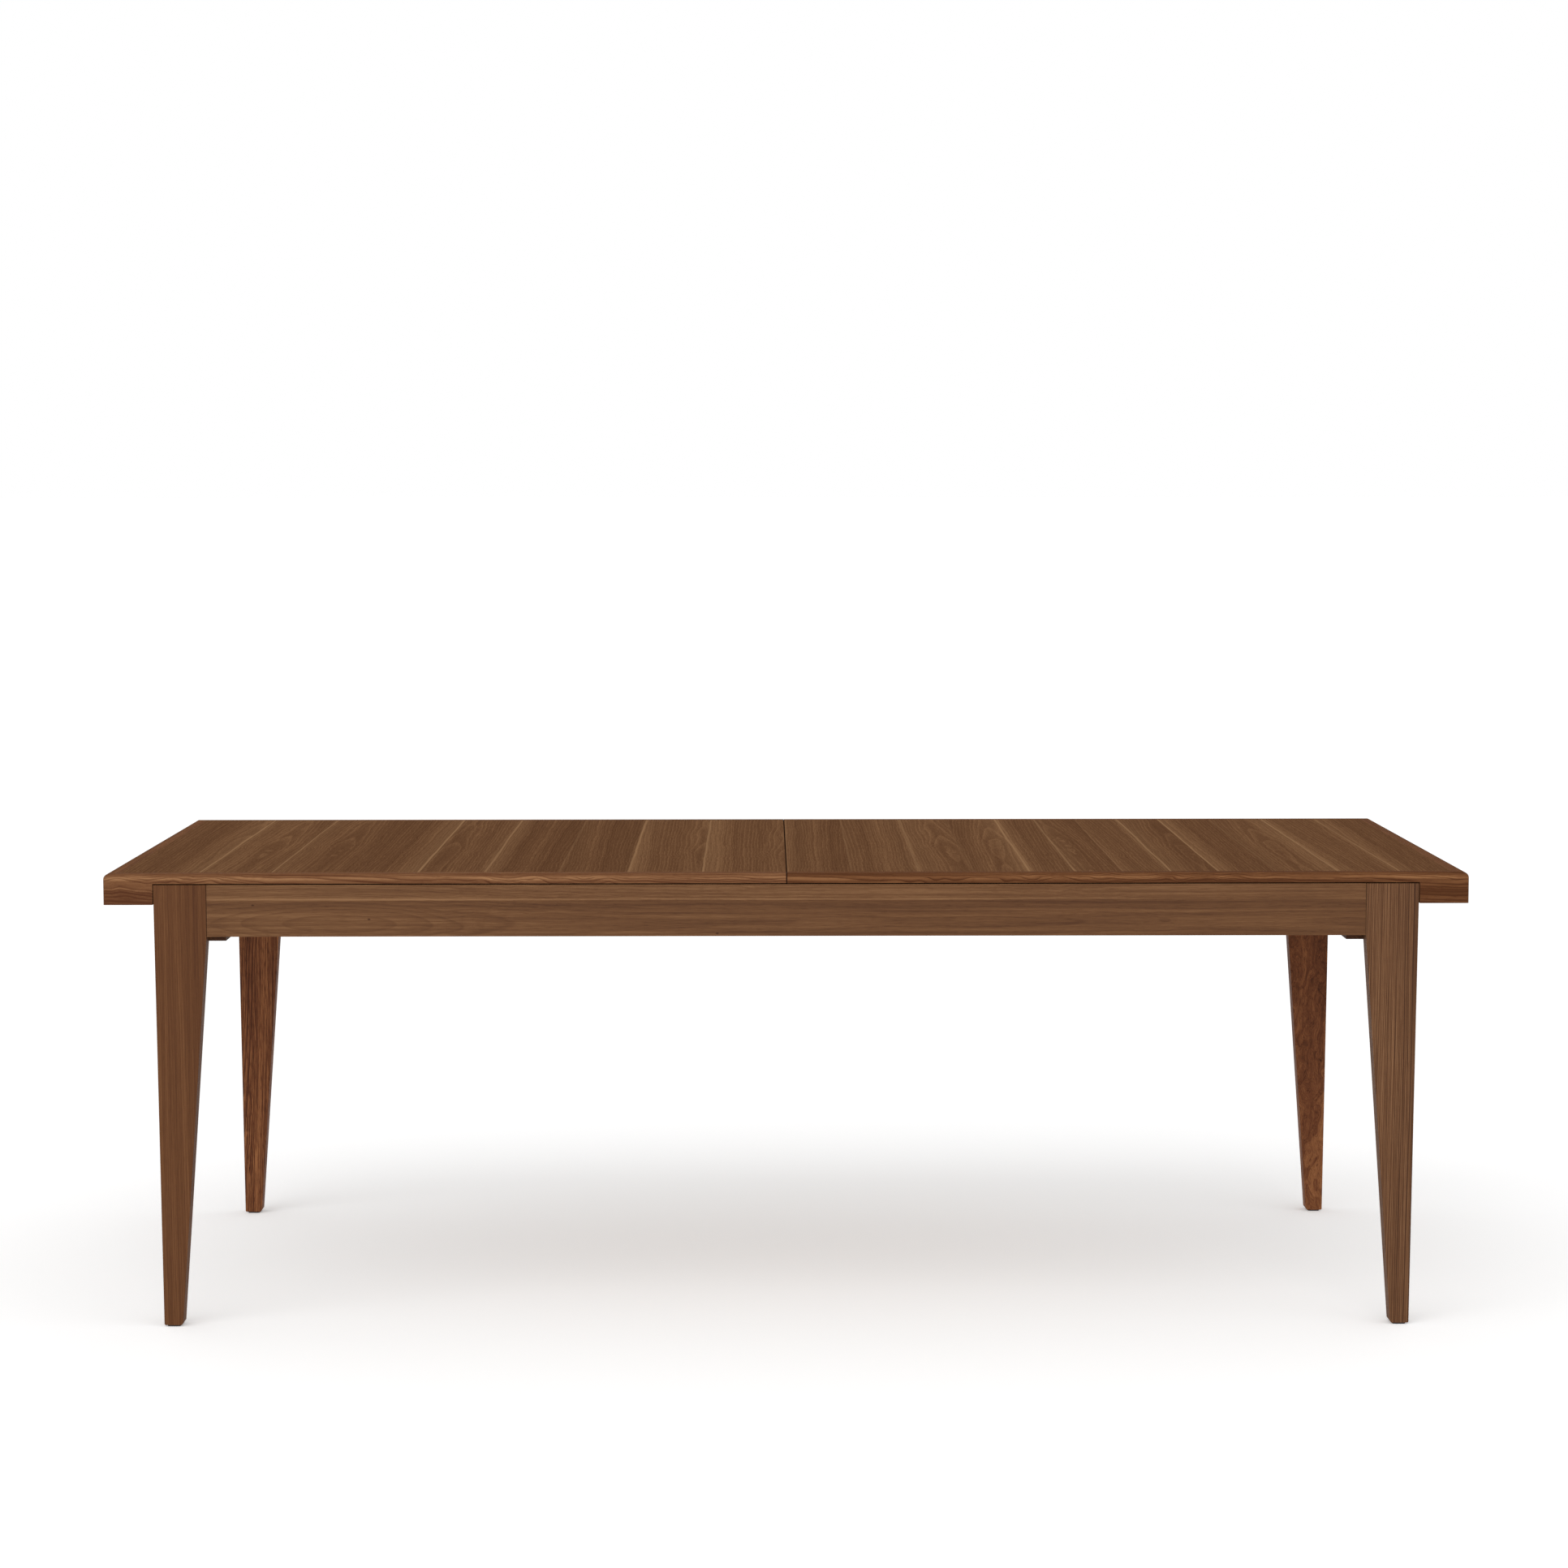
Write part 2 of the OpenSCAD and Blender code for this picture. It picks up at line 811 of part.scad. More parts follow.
module leaf_board(z) {
  color(WALNUT)
    stored(z)
      difference() {
        span([-leaf_l / 2, -half_w + lip_w, board_z], [leaf_l / 2, half_w - lip_w, table_h]);
        leaf_ends() {
          pin_holes();
          translate([0, 0, table_h])
            seam_waste();
        }
      }
}

module leaf_lips(z) {
  color(WALNUT)
    stored(z)
      for (a = [0, 180])
        rotate([0, 0, a])
          difference() {
            span([-leaf_l / 2, -half_w, board_z], [leaf_l / 2, -half_w + lip_w, table_h]);
            translate([-leaf_l / 2 - cut, -half_w, table_h])
              arris_waste(leaf_l + 2 * cut, arris_r);
            leaf_ends()
              translate([0, 0, table_h])
                seam_waste();
          }
}

module leaf_pins(z) {
  color(STEEL)
    stored(z)
      leaf_ends()
        pins();
}

// Felt dots between the two stored leaves
module leaf_felts() {
  color(FELT)
    all_corners()
      translate([bearer_x, leaf_l / 2 - felt_inset, lower_leaf_z + top_t])
        cylinder(r = spacer_r, h = spacer_t);
}

leg(-1, -1);  // leg_front_left
leg(1, -1);  // leg_front_right
leg(-1, 1);  // leg_rear_left
leg(1, 1);  // leg_rear_right
foot_glides();
side_rail(-1);  // side_rail_front
side_rail(1);  // side_rail_rear
end_rail(-1);  // end_rail_left
end_rail(1);  // end_rail_right
corner_blocks();
corner_screws();
guide(-1);  // guide_front
guide(1);  // guide_rear
guide_screws();
slide_pads();
pinion_axles();
leaf_bearer(-1);  // leaf_bearer_left
leaf_bearer(1);  // leaf_bearer_right
leaf_stops();
bearer_felts();
board();  // left_board
end_board();  // left_end_board
lip(-1);  // left_front_lip
lip(1);  // left_rear_lip
lane(-1) runner(true);  // left_front_runner
lane(1) runner(false);  // left_rear_runner
racks();  // left_racks
runner_screws();  // left_runner_screws
seam_pins();  // left_seam_pins
stop_peg();  // left_stop_peg
turned() board();  // right_board
turned() end_board();  // right_end_board
turned() lip(1);  // right_front_lip
turned() lip(-1);  // right_rear_lip
turned() lane(1) runner(false);  // right_front_runner
turned() lane(-1) runner(true);  // right_rear_runner
turned() racks();  // right_racks
turned() runner_screws();  // right_runner_screws
turned() seam_pins();  // right_seam_pins
turned() stop_peg();  // right_stop_peg
pinion(-1);  // pinion_front
pinion(1);  // pinion_rear
leaf_board(lower_leaf_z);  // lower_leaf_board
leaf_lips(lower_leaf_z);  // lower_leaf_lips
leaf_pins(lower_leaf_z);  // lower_leaf_pins
leaf_felts();
leaf_board(upper_leaf_z);  // upper_leaf_board
leaf_lips(upper_leaf_z);  // upper_leaf_lips
leaf_pins(upper_leaf_z);  // upper_leaf_pins
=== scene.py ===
# %% [markdown]
# This lesson dresses an extending dining table in walnut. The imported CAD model
# gives every solid at its true size and place. Here they get their wood, steel,
# nylon and felt, and the few whose edges the CAD mesh leaves coarse are made again
# as finer surfaces. A floor, soft light and the camera of the photograph come last.

# %% Load the frame
import json
import math

import bmesh
import bpy
import numpy as np
from mathutils import Matrix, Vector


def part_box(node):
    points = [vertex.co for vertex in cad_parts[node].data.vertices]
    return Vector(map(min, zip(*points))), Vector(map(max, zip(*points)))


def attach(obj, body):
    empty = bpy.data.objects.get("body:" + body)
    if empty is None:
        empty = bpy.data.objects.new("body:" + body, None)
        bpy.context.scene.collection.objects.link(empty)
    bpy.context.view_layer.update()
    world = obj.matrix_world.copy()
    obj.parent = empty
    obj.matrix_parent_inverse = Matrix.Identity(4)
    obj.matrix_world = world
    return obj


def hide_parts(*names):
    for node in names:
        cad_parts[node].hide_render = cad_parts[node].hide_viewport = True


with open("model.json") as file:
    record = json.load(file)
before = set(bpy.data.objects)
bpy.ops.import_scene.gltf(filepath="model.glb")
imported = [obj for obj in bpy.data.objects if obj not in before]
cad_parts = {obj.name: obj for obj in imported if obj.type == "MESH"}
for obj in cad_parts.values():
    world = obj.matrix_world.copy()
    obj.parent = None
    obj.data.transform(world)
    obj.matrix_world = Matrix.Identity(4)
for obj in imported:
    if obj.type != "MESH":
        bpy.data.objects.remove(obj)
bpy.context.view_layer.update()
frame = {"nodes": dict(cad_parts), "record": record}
scene = bpy.context.scene
nodes = frame["nodes"]

# %% [markdown]
# The new pieces take their measures from the solids that they stand for, so that
# they fit with no adjustment. Only what a box can't tell is written out: the radii
# of the rounded arris and of the upright corners, the easing along the seam, and
# where the lippings step down to the deep end boards.

# %% Measures of the table, in metres
lip_low, lip_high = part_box("left_front_lip")
end_low, end_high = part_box("left_end_board")
HALF_L, HALF_W, TOP_Z = -lip_low.x, -lip_low.y, lip_high.z
LIP_W = lip_high.y - lip_low.y
SEAM_X = -lip_high.x
DEEP_Z = lip_low.z
BOARD_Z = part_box("left_board")[0].z
BUILD_UP = end_high.x - end_low.x - LIP_W
ARRIS_R = 0.009
CORNER_R = 0.003
SEAM_EASE = 0.0008
DEEP_X = 1.021
print("top", 2 * HALF_L, "x", 2 * HALF_W, "lipping", round(LIP_W, 4))

# %% [markdown]
# A piece is a surface worked out on a grid: numpy gives the places of all its
# vertices at once, and the faces follow from how the grid is numbered. These
# helpers number the faces, put the arrays into a mesh, close its seams and tell
# the frame which body carries it and which solids it stands for.

# %% Helpers for surfaces on a grid
def grid_faces(rows, columns):
    """Quads of a grid numbered row by row, whose last column joins the first:
    (i, j), (i, j + 1), (i + 1, j + 1), (i + 1, j)."""
    i, j = np.meshgrid(np.arange(rows - 1), np.arange(columns), indexing="ij")
    i, j, after = i.ravel(), j.ravel(), ((j + 1) % columns).ravel()
    return np.stack([i * columns + j, i * columns + after,
                     (i + 1) * columns + after, (i + 1) * columns + j], axis=1).tolist()


def full_turn(steps):
    """The angles of so many even steps round a circle."""
    return np.linspace(0, 2 * math.pi, steps, endpoint=False)


def close_mesh(mesh, double=1e-7, sharp_deg=32):
    """Merge doubles, drop faces with no area, point the faces outwards and keep
    edges sharper than sharp_deg crisp."""
    shell = bmesh.new()
    shell.from_mesh(mesh)
    bmesh.ops.remove_doubles(shell, verts=shell.verts, dist=double)
    bmesh.ops.dissolve_degenerate(shell, edges=shell.edges, dist=double)
    bmesh.ops.recalc_face_normals(shell, faces=shell.faces)
    shell.to_mesh(mesh)
    shell.free()
    mesh.shade_smooth()
    mesh.set_sharp_from_angle(angle=math.radians(sharp_deg))


def add_mesh(name, points, faces):
    """An object with its own mesh, at the origin."""
    mesh = bpy.data.meshes.new(name)
    mesh.from_pydata(points, [], faces)
    made = bpy.data.objects.new(name, mesh)
    scene.collection.objects.link(made)
    return made


def make_piece(name, shells, body, slot, *solids):
    """One object from several (points, faces) shells. It rides on a body and stands for
    CAD solids. Its slot argument is not used."""
    points, faces, start = [], [], 0
    for shell_points, shell_faces in shells:
        points.extend(shell_points.tolist())
        faces.extend([[start + v for v in face] for face in shell_faces])
        start += len(shell_points)
    piece = add_mesh(name, points, faces)
    close_mesh(piece.data)
    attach(piece, body)
    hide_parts(*solids)
    print(name, "faces", len(piece.data.polygons))
    return piece

# %% [markdown]
# The rim of the top is solid walnut: a narrow lipping along each long edge and a
# deep board across each end, mitred at the corners. Their upper edge is a
# quarter-round that catches the light all along the table, so it needs far more
# steps than the CAD mesh has. Each is one profile carried along a straight line.

# %% Profiles of the rim
def arris(radius, steps=12):
    """Quarter circle from the top face (inward = radius, drop = 0) to the outer face
    (inward = 0, drop = radius): inward = r (1 - sin a), drop = r (1 - cos a)."""
    a = np.linspace(0, math.pi / 2, steps + 1)
    return np.stack([radius * (1 - np.sin(a)), radius * (1 - np.cos(a))], axis=1)


def lip_profile(low_z):
    """Closed outline in (inward, z): top face, arris, outer face, underside."""
    edge = arris(ARRIS_R)
    edge[:, 1] = TOP_Z - edge[:, 1]
    return np.vstack([[[LIP_W, TOP_Z]], edge, [[0, low_z], [LIP_W, low_z]]])


def end_profile():
    """The lipping's outline, with the strip that is built up under the board."""
    inner = LIP_W + BUILD_UP
    return np.vstack([lip_profile(DEEP_Z), [[inner, DEEP_Z], [inner, BOARD_Z], [LIP_W, BOARD_Z]]])


print("profile points:", len(lip_profile(BOARD_Z)), len(end_profile()))

# %% [markdown]
# At a corner two such pieces meet on a 45 degree plane, and the upright edge there
# is eased by 3 mm. In plan a point at depth d behind the outer face turns with the
# radius R - d round a centre that lies R inside both faces. Points deeper than R
# simply end on the mitre.

# %% Carry a profile from a mitred corner
def mitre_plan(stations, depth, arc_steps=5):
    """Plan places (along, inward) for columns of a piece that starts in a mitre.
    On the arc: along = R - (R - d) cos p, inward = R - (R - d) sin p, with p from 45
    to 90 degrees. Beyond it: along = max(station, d), inward = d."""
    turn = np.radians(np.linspace(45, 90, arc_steps))
    angle = np.concatenate([turn, np.full(len(stations), math.pi / 2)])[:, None]
    start = np.concatenate([np.zeros(arc_steps), stations])[:, None]
    cut = np.minimum(depth, LIP_W)[None, :]
    left = np.maximum(CORNER_R - cut, 0)
    along = np.where(cut < CORNER_R, CORNER_R - left * np.cos(angle), cut)
    inward = np.where(cut < CORNER_R, CORNER_R - left * np.sin(angle), depth[None, :])
    return np.maximum(along, start), inward


def carry(along, inward, z, place, caps):
    """A shell from arrays of along, inward and z, one row per column of the piece.
    Place turns them into x, y and z. Caps lists the profile points of each end face."""
    count = along.shape[1]
    points = np.stack(place(along.ravel(), inward.ravel(), z.ravel()), axis=1)
    faces = grid_faces(len(along), count)
    last = (len(along) - 1) * count
    for cap in caps:
        faces += [list(cap), [last + v for v in cap]]
    return points, faces


def lip_shell(side_x, side_y):
    """A long lipping: deep beyond the leg, then as thin as the board up to the seam,
    where its upper edge is eased: z = min(z, top - easing) on the last outline."""
    step, seam = HALF_L - DEEP_X, HALF_L - SEAM_X
    deep_part, thin_part = [CORNER_R, LIP_W, step], [step, HALF_L / 2, seam - SEAM_EASE, seam]
    deep, thin = lip_profile(DEEP_Z), lip_profile(BOARD_Z)
    along, inward = mitre_plan(deep_part + thin_part, deep[:, 0])
    z = np.tile(deep[:, 1], (len(along), 1))
    z[-len(thin_part):] = thin[:, 1]
    z[-1] = np.minimum(z[-1], TOP_Z - SEAM_EASE)
    return carry(along, inward, z,
                 lambda a, d, h: (side_x * (HALF_L - a), side_y * (HALF_W - d), h),
                 [range(len(deep))])


def end_shell(side_x, between=(0.15, 0.30)):
    """A deep end board with a mitre at both ends: the second half is the first,
    mirrored. Between are two more columns on the way to the middle. Each end face
    is two: the outline of the lipping and that of the strip under the board."""
    outline = end_profile()
    along, inward = mitre_plan([CORNER_R, LIP_W, *between, HALF_W], outline[:, 0])
    along = np.vstack([along, 2 * HALF_W - along[-2::-1]])
    inward = np.vstack([inward, inward[-2::-1]])
    z = np.tile(outline[:, 1], (len(along), 1))
    corners = list(range(len(outline)))
    return carry(along, inward, z,
                 lambda a, d, h: (side_x * (HALF_L - d), a - HALF_W, h),
                 [corners[:-3] + corners[-1:], corners[-4:]])


rim = {}
for side, sx in (("left", -1), ("right", 1)):
    body = side + "_half"
    for face, sy in (("front", -1), ("rear", 1)):
        name = f"{side}_{face}_lip"
        rim[name] = make_piece(name + "_fine", [lip_shell(sx, sy)], body, "walnut_lipping", name)
    name = side + "_end_board"
    rim[name] = make_piece(name + "_fine", [end_shell(sx)], body, "walnut_lipping", name)

# %% [markdown]
# The two loose leaves have the same lippings, only as long as the leaf is wide. In
# the closed table they lie turned by a quarter, so their lippings run across it.

# %% Lippings of the stored leaves
def leaf_lip_shell(side, low, high):
    """A straight lipping along y with eased ends, whose outer face looks along x."""
    outline = lip_profile(BOARD_Z)
    stations = [low.y, low.y + SEAM_EASE, high.y - SEAM_EASE, high.y]
    along, inward = np.meshgrid(stations, outline[:, 0], indexing="ij")
    z = np.tile(outline[:, 1] - TOP_Z + high.z, (len(stations), 1))
    z[[0, -1]] = np.minimum(z[[0, -1]], high.z - SEAM_EASE)
    return carry(along, inward, z,
                 lambda a, d, h: (side * (high.x - d), a, h), [range(len(outline))])


for layer in ("lower", "upper"):
    name = layer + "_leaf_lips"
    low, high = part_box(name)
    rim[name] = make_piece(name + "_fine", [leaf_lip_shell(s, low, high) for s in (-1, 1)],
                           layer + "_leaf", "walnut_lipping", name)

# %% [markdown]
# Under each foot is a moulded nylon glide. Its outline is a superellipse, a
# rectangle with generous corners, and its lower edge is rounded so that it slides
# over a rug. A stem holds it in the leg.

# %% Foot glides
PAD_HALF = np.array([0.011, 0.014])
PAD_T, PAD_EASING, STEM_R, STEM_EASING = 0.0025, 0.0008, 0.004, 0.001
CORNERS = [(sx, sy) for sx in (-1, 1) for sy in (-1, 1)]


def glide_shell(x, y, top, around=48, edge_steps=5):
    """Rows of closed outlines, each with a height. Pad: x = a c^(1/3), y = b s^(1/3),
    with c and s the cosine and sine with their signs; stem: a circle."""
    t = full_turn(around)
    circle = np.stack([np.cos(t), np.sin(t)], axis=1)
    outline = np.sign(circle) * np.abs(circle) ** (1 / 3)
    rows = [(0 * circle, 0)]
    for b in np.linspace(0, math.pi / 2, edge_steps):
        rows.append((outline * (PAD_HALF - PAD_EASING * (1 - math.sin(b))),
                     PAD_EASING * (1 - math.cos(b))))
    rows += [(outline * PAD_HALF, PAD_T), (circle * STEM_R, PAD_T),
             (circle * STEM_R, top - STEM_EASING), (circle * (STEM_R - STEM_EASING), top),
             (0 * circle, top)]
    points = np.vstack([np.column_stack([plan + (x, y), np.full(around, z)]) for plan, z in rows])
    return points, grid_faces(len(rows), around)


glide_low, glide_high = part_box("foot_glides")
foot = np.array([glide_high.x, glide_high.y]) - PAD_HALF
glides = make_piece("foot_glides_fine",
                    [glide_shell(sx * foot[0], sy * foot[1], glide_high.z) for sx, sy in CORNERS],
                    "base", "dark_nylon", "foot_glides")

# %% [markdown]
# The slides are held by zinc-plated countersunk screws. A screw is turned round its
# axis: a head with a cross recess, a plain neck, a thread and a point. The thread is
# a ridge whose phase turns with the angle, so it winds round the core. The recess is
# pressed into the head's grid where it lies near one of two crossing lines.

# %% Shape of a screw
HEAD_R, HEAD_RIM, HEAD_H, SHANK_R, CORE_R = 0.0045, 0.0007, 0.0035, 0.0022, 0.0016
THREAD_PITCH, THREAD_START, POINT_L, NECK = 0.0024, 0.0003, 0.004, 0.3
RECESS_DEPTH, RECESS_W, RECESS_R, RECESS_FADE = 0.0016, 0.00045, 0.0024, 0.0004
FACE_R = np.array([0, 0.00035, 0.0007, 0.0011, 0.0016, 0.0021, 0.0025, HEAD_R])[:, None]


def screw_shell(start, direction, length, around=24, rows_a_turn=7):
    """Surface of two parameters, the angle t and the row. The thread's radius is
    core + (shank - core) (1 - |2 f - 1|), with f the fraction of z / pitch - t / 2 pi.
    The recess sinks z by depth e^-(m / w)^4, with m the lesser of |x| and |y|. Neck is
    the share of the shank that has no thread."""
    t = full_turn(around)[None, :]
    ones = np.ones_like(t)
    narrow = np.minimum(np.abs(FACE_R * np.cos(t)), np.abs(FACE_R * np.sin(t)))
    recess = (RECESS_DEPTH * np.exp(-(narrow / RECESS_W) ** 4)
              * np.clip((RECESS_R - FACE_R) / RECESS_FADE, 0, 1))
    neck_z = HEAD_H + NECK * (length - HEAD_H - POINT_L)
    thread_z = np.arange(neck_z, length - POINT_L, THREAD_PITCH / rows_a_turn)[:, None]
    turn = (thread_z / THREAD_PITCH - t / (2 * math.pi)) % 1
    thread_r = CORE_R + (SHANK_R - CORE_R) * (1 - np.abs(2 * turn - 1))
    rows = [(FACE_R, recess), (HEAD_R, HEAD_RIM), (SHANK_R, HEAD_H),
            (SHANK_R, neck_z - THREAD_START), (thread_r, thread_z),
            (CORE_R, length - POINT_L), (0, length)]
    r, z = (np.vstack([value * ones for value in column]) for column in zip(*rows))
    axis = np.array(direction, float)
    side = np.array([0, 1, 0]) if abs(axis[2]) > 0.5 else np.array([0, 0, 1])
    points = (np.array(start) + np.outer(r * np.cos(t), side)
              + np.outer(r * np.sin(t), np.cross(axis, side)) + np.outer(z, axis))
    return points, grid_faces(len(r), around)

# %% [markdown]
# Each screw sits in the hole that the CAD model has for it, so a place here is the
# middle of a head, with the direction that the screw points in and its length. Five
# go up through each runner into the board over it. Two go through each corner block,
# into the end rail and the side rail, and one at each end of a guide into the rail.

# %% Screws in their places
RUNNER_Y, FIRST_X, SPACING, SCREWS_A_RUNNER = (-0.4263, 0.3557), 0.080, 0.220, 5
HEAD_Z = 0.702
RUNNER_SCREW_L, BLOCK_SCREW_L, GUIDE_SCREW_L = 0.034, 0.027, 0.056
TO_END_RAIL, TO_SIDE_RAIL = (0.894, 0.413, 0.651), (0.871, 0.436, 0.661)
IN_GUIDE = (0.921, 0.391, HEAD_Z)


def at_corners(place, direction, length):
    """A screw of one corner, and the same mirrored in x and y to all four."""
    return [(np.multiply(place, (sx, sy, 1)), np.multiply(direction, (sx, sy, 1)), length)
            for sx, sy in CORNERS]


left_screws = [((-(FIRST_X + SPACING * i), y, HEAD_Z), (0, 0, 1), RUNNER_SCREW_L)
               for y in RUNNER_Y for i in range(SCREWS_A_RUNNER)]
right_screws = [((-x, -y, z), axis, length) for (x, y, z), axis, length in left_screws]
corner_screws = (at_corners(TO_END_RAIL, (1, 0, 0), BLOCK_SCREW_L)
                 + at_corners(TO_SIDE_RAIL, (0, 1, 0), BLOCK_SCREW_L))
guide_screws = at_corners(IN_GUIDE, (0, 0, -1), GUIDE_SCREW_L)
screws = [make_piece(name + "_threaded", [screw_shell(*place) for place in places],
                     body, "zinc_steel", name)
          for name, body, places in (("left_runner_screws", "left_half", left_screws),
                                     ("right_runner_screws", "right_half", right_screws),
                                     ("corner_screws", "base", corner_screws),
                                     ("guide_screws", "base", guide_screws))]

# %% [markdown]
# The other solids keep their CAD shape. Real boards have no razor edges: a
# cabinetmaker breaks each one with fine paper. Weld joins the loose triangles,
# Decimate turns the flat ones back into whole faces, and Bevel eases the edges.

# %% Ease the edges of the wood
def ease(name, width, segments=2, flat_deg=0.5, edge_deg=40, double=1e-6):
    """Live modifiers on a CAD node; its own mesh isn't touched."""
    solid = nodes[name]
    weld = solid.modifiers.new("Weld", "WELD")
    weld.merge_threshold = double
    flat = solid.modifiers.new("Flat faces", "DECIMATE")
    flat.decimate_type = "DISSOLVE"
    flat.angle_limit = math.radians(flat_deg)
    edge = solid.modifiers.new("Eased edges", "BEVEL")
    edge.width = width
    edge.segments = segments
    edge.limit_method = "ANGLE"
    edge.angle_limit = math.radians(edge_deg)


EASED = {0.0012: ["leg_"], 0.0008: ["rail_"], 0.0004: ["left_board", "right_board", "leaf_board"],
         0.0006: ["front_runner", "rear_runner", "guide_front", "guide_rear", "bearer_",
                  "corner_blocks", "leaf_stops"]}
for width, kinds in EASED.items():
    names = [name for name in nodes if any(kind in name for kind in kinds)]
    for name in names:
        ease(name, width)
    print("eased by", width * 1000, "mm:", len(names), "solids")

# %% [markdown]
# Every finish is a node material. A few helpers keep the node code short: put adds
# a node and fills or links its sockets, calc, vector and measure do one step of
# arithmetic, and new_group opens a node group with named inputs and outputs.

# %% Helpers for shader nodes
def srgb(red, green, blue):
    """A colour of 8-bit display values as linear light, with full alpha: c / 12.92
    near black, and ((c + 0.055) / 1.055)^2.4 above."""
    c = np.array([red, green, blue]) / 255
    linear = np.where(c <= 0.04045, c / 12.92, ((c + 0.055) / 1.055) ** 2.4)
    return (*[float(v) for v in linear], 1.0)


def put(tree, kind, sockets=None, **settings):
    """Add a node. Sockets maps an input to a value or to the output that feeds it."""
    made = tree.nodes.new(kind)
    for name, value in settings.items():
        setattr(made, name, value)
    for socket, value in (sockets or {}).items():
        if isinstance(value, bpy.types.NodeSocket):
            tree.links.new(value, made.inputs[socket])
        else:
            made.inputs[socket].default_value = value
    return made


def calc(tree, operation, *values, clamp=False):
    """One step of arithmetic on numbers."""
    return put(tree, "ShaderNodeMath", dict(enumerate(values)), operation=operation,
               use_clamp=clamp).outputs[0]


def madd(tree, value, factor, offset, clamp=False):
    """Multiply and add: value times factor plus offset."""
    return calc(tree, "MULTIPLY_ADD", value, factor, offset, clamp=clamp)


def vector(tree, operation, *values):
    """One step of arithmetic on vectors."""
    return put(tree, "ShaderNodeVectorMath", dict(enumerate(values)),
               operation=operation).outputs[0]


def measure(tree, operation, *values):
    """One number from vectors: a length or a dot product."""
    return put(tree, "ShaderNodeVectorMath", dict(enumerate(values)),
               operation=operation).outputs["Value"]


def split(tree, place):
    """The x, y and z of a vector."""
    return put(tree, "ShaderNodeSeparateXYZ", {0: place}).outputs


def join(tree, x, y, z):
    """A vector of x, y and z."""
    return put(tree, "ShaderNodeCombineXYZ", {0: x, 1: y, 2: z}).outputs[0]


def smooth(tree, value, start, stop, low=0.0, high=1.0):
    """A smooth step from low to high while value goes from start to stop."""
    return put(tree, "ShaderNodeMapRange", {"Value": value, "From Min": start, "From Max": stop,
                                            "To Min": low, "To Max": high},
               interpolation_type="SMOOTHSTEP").outputs[0]


def mix(tree, factor, first, second):
    """Two colours mixed by a factor from 0 to 1. A Mix node has sockets for each kind
    of value, and those of colours are number 6 and 7 in and 2 out."""
    return put(tree, "ShaderNodeMix", {0: factor, 6: first, 7: second}, data_type="RGBA").outputs[2]


def noise(tree, place, cells, seed, detail=2.0, rough=0.5):
    """Noise with so many cells a metre along x, y and z; returns its value and colour."""
    return put(tree, "ShaderNodeTexNoise",
               {"Vector": vector(tree, "MULTIPLY", place, cells), "W": seed, "Scale": 1.0,
                "Detail": detail, "Roughness": rough}, noise_dimensions="4D").outputs


def line_noise(tree, place, detail):
    """Noise along one number, between 0 and 1."""
    return put(tree, "ShaderNodeTexNoise", {"W": place, "Scale": 1.0, "Detail": detail},
               noise_dimensions="1D").outputs[0]


MID_GREY = (0.5, 0.5, 0.5)


def sway(tree, colour, amount):
    """The colour of a noise as a push to any side: amount (colour - 0.5)."""
    centred = vector(tree, "SUBTRACT", colour, MID_GREY)
    return put(tree, "ShaderNodeVectorMath", {0: centred, "Scale": amount},
               operation="SCALE").outputs[0]


def new_group(name, inputs, outputs):
    """A shader node group. Inputs maps a name to its default: a number, a vector of
    three or a colour of four. Outputs maps a name to its kind."""
    tree = bpy.data.node_groups.new(name, "ShaderNodeTree")
    for label, value in inputs.items():
        size = len(value) if isinstance(value, tuple) else 1
        kind = {1: "NodeSocketFloat", 3: "NodeSocketVector", 4: "NodeSocketColor"}[size]
        tree.interface.new_socket(label, in_out="INPUT", socket_type=kind).default_value = value
    for label, kind in outputs.items():
        tree.interface.new_socket(label, in_out="OUTPUT", socket_type="NodeSocket" + kind)
    print("group", name, "in:", len(inputs), "out:", len(outputs))
    return tree, tree.nodes.new("NodeGroupInput").outputs, tree.nodes.new("NodeGroupOutput").inputs


def use(tree, group, **sockets):
    """Place a node group by its name. An underscore in a keyword stands for a space."""
    named = {label.replace("_", " "): value for label, value in sockets.items()}
    return put(tree, "ShaderNodeGroup", named, node_tree=bpy.data.node_groups[group]).outputs

# %% [markdown]
# Wood is a solid texture. A trunk grows in shells round its pith, so the figure on
# any face is where that face cuts the shells: straight lines where it is cut far
# from the pith, and nested arches where it runs nearly along it. Here the rings are
# the distance from a pith line that wanders and leans, so faces and end grain agree.
# Rise is the lean. Bow moves the pith by up to its value away from x = 0, by
# 1 - 1 / (1 + (x / 0.25 m)^2), which closes the arches round that place. Each ring
# darkens towards its end. Slower noise along the age makes the rings uneven, and
# gives the broad bands of good and poor years.

# %% Group: growth rings
ORIGIN = (0.0, 0.0, 0.0)
CUT = {"Position": ORIGIN, "Seed": 0.0, "Pith": (0.0, 0.0, -0.04), "Ring Width": 0.004,
       "Wander": 0.012, "Rise": 0.03, "Bow": 0.0}
DRIFT_CELLS, BOW_L, LATE_POWER, RING_END = (1.8, 8.0, 8.0), 0.25, 3.0, 0.88
UNEVEN_RATE, UNEVEN_BY, BAND_RATE = 0.31, 2.2, 0.17
g, given, result = new_group("growth_rings", CUT, {"Rings": "Float", "Bands": "Float"})
drift = sway(g, noise(g, given["Position"], DRIFT_CELLS, given["Seed"])[1], given["Wander"])
x, y, z = split(g, vector(g, "ADD", vector(g, "SUBTRACT", given["Position"], given["Pith"]), drift))
depth = madd(g, x, given["Rise"], z)
swell = madd(g, calc(g, "MULTIPLY", x, x), 1 / BOW_L ** 2, 1.0)
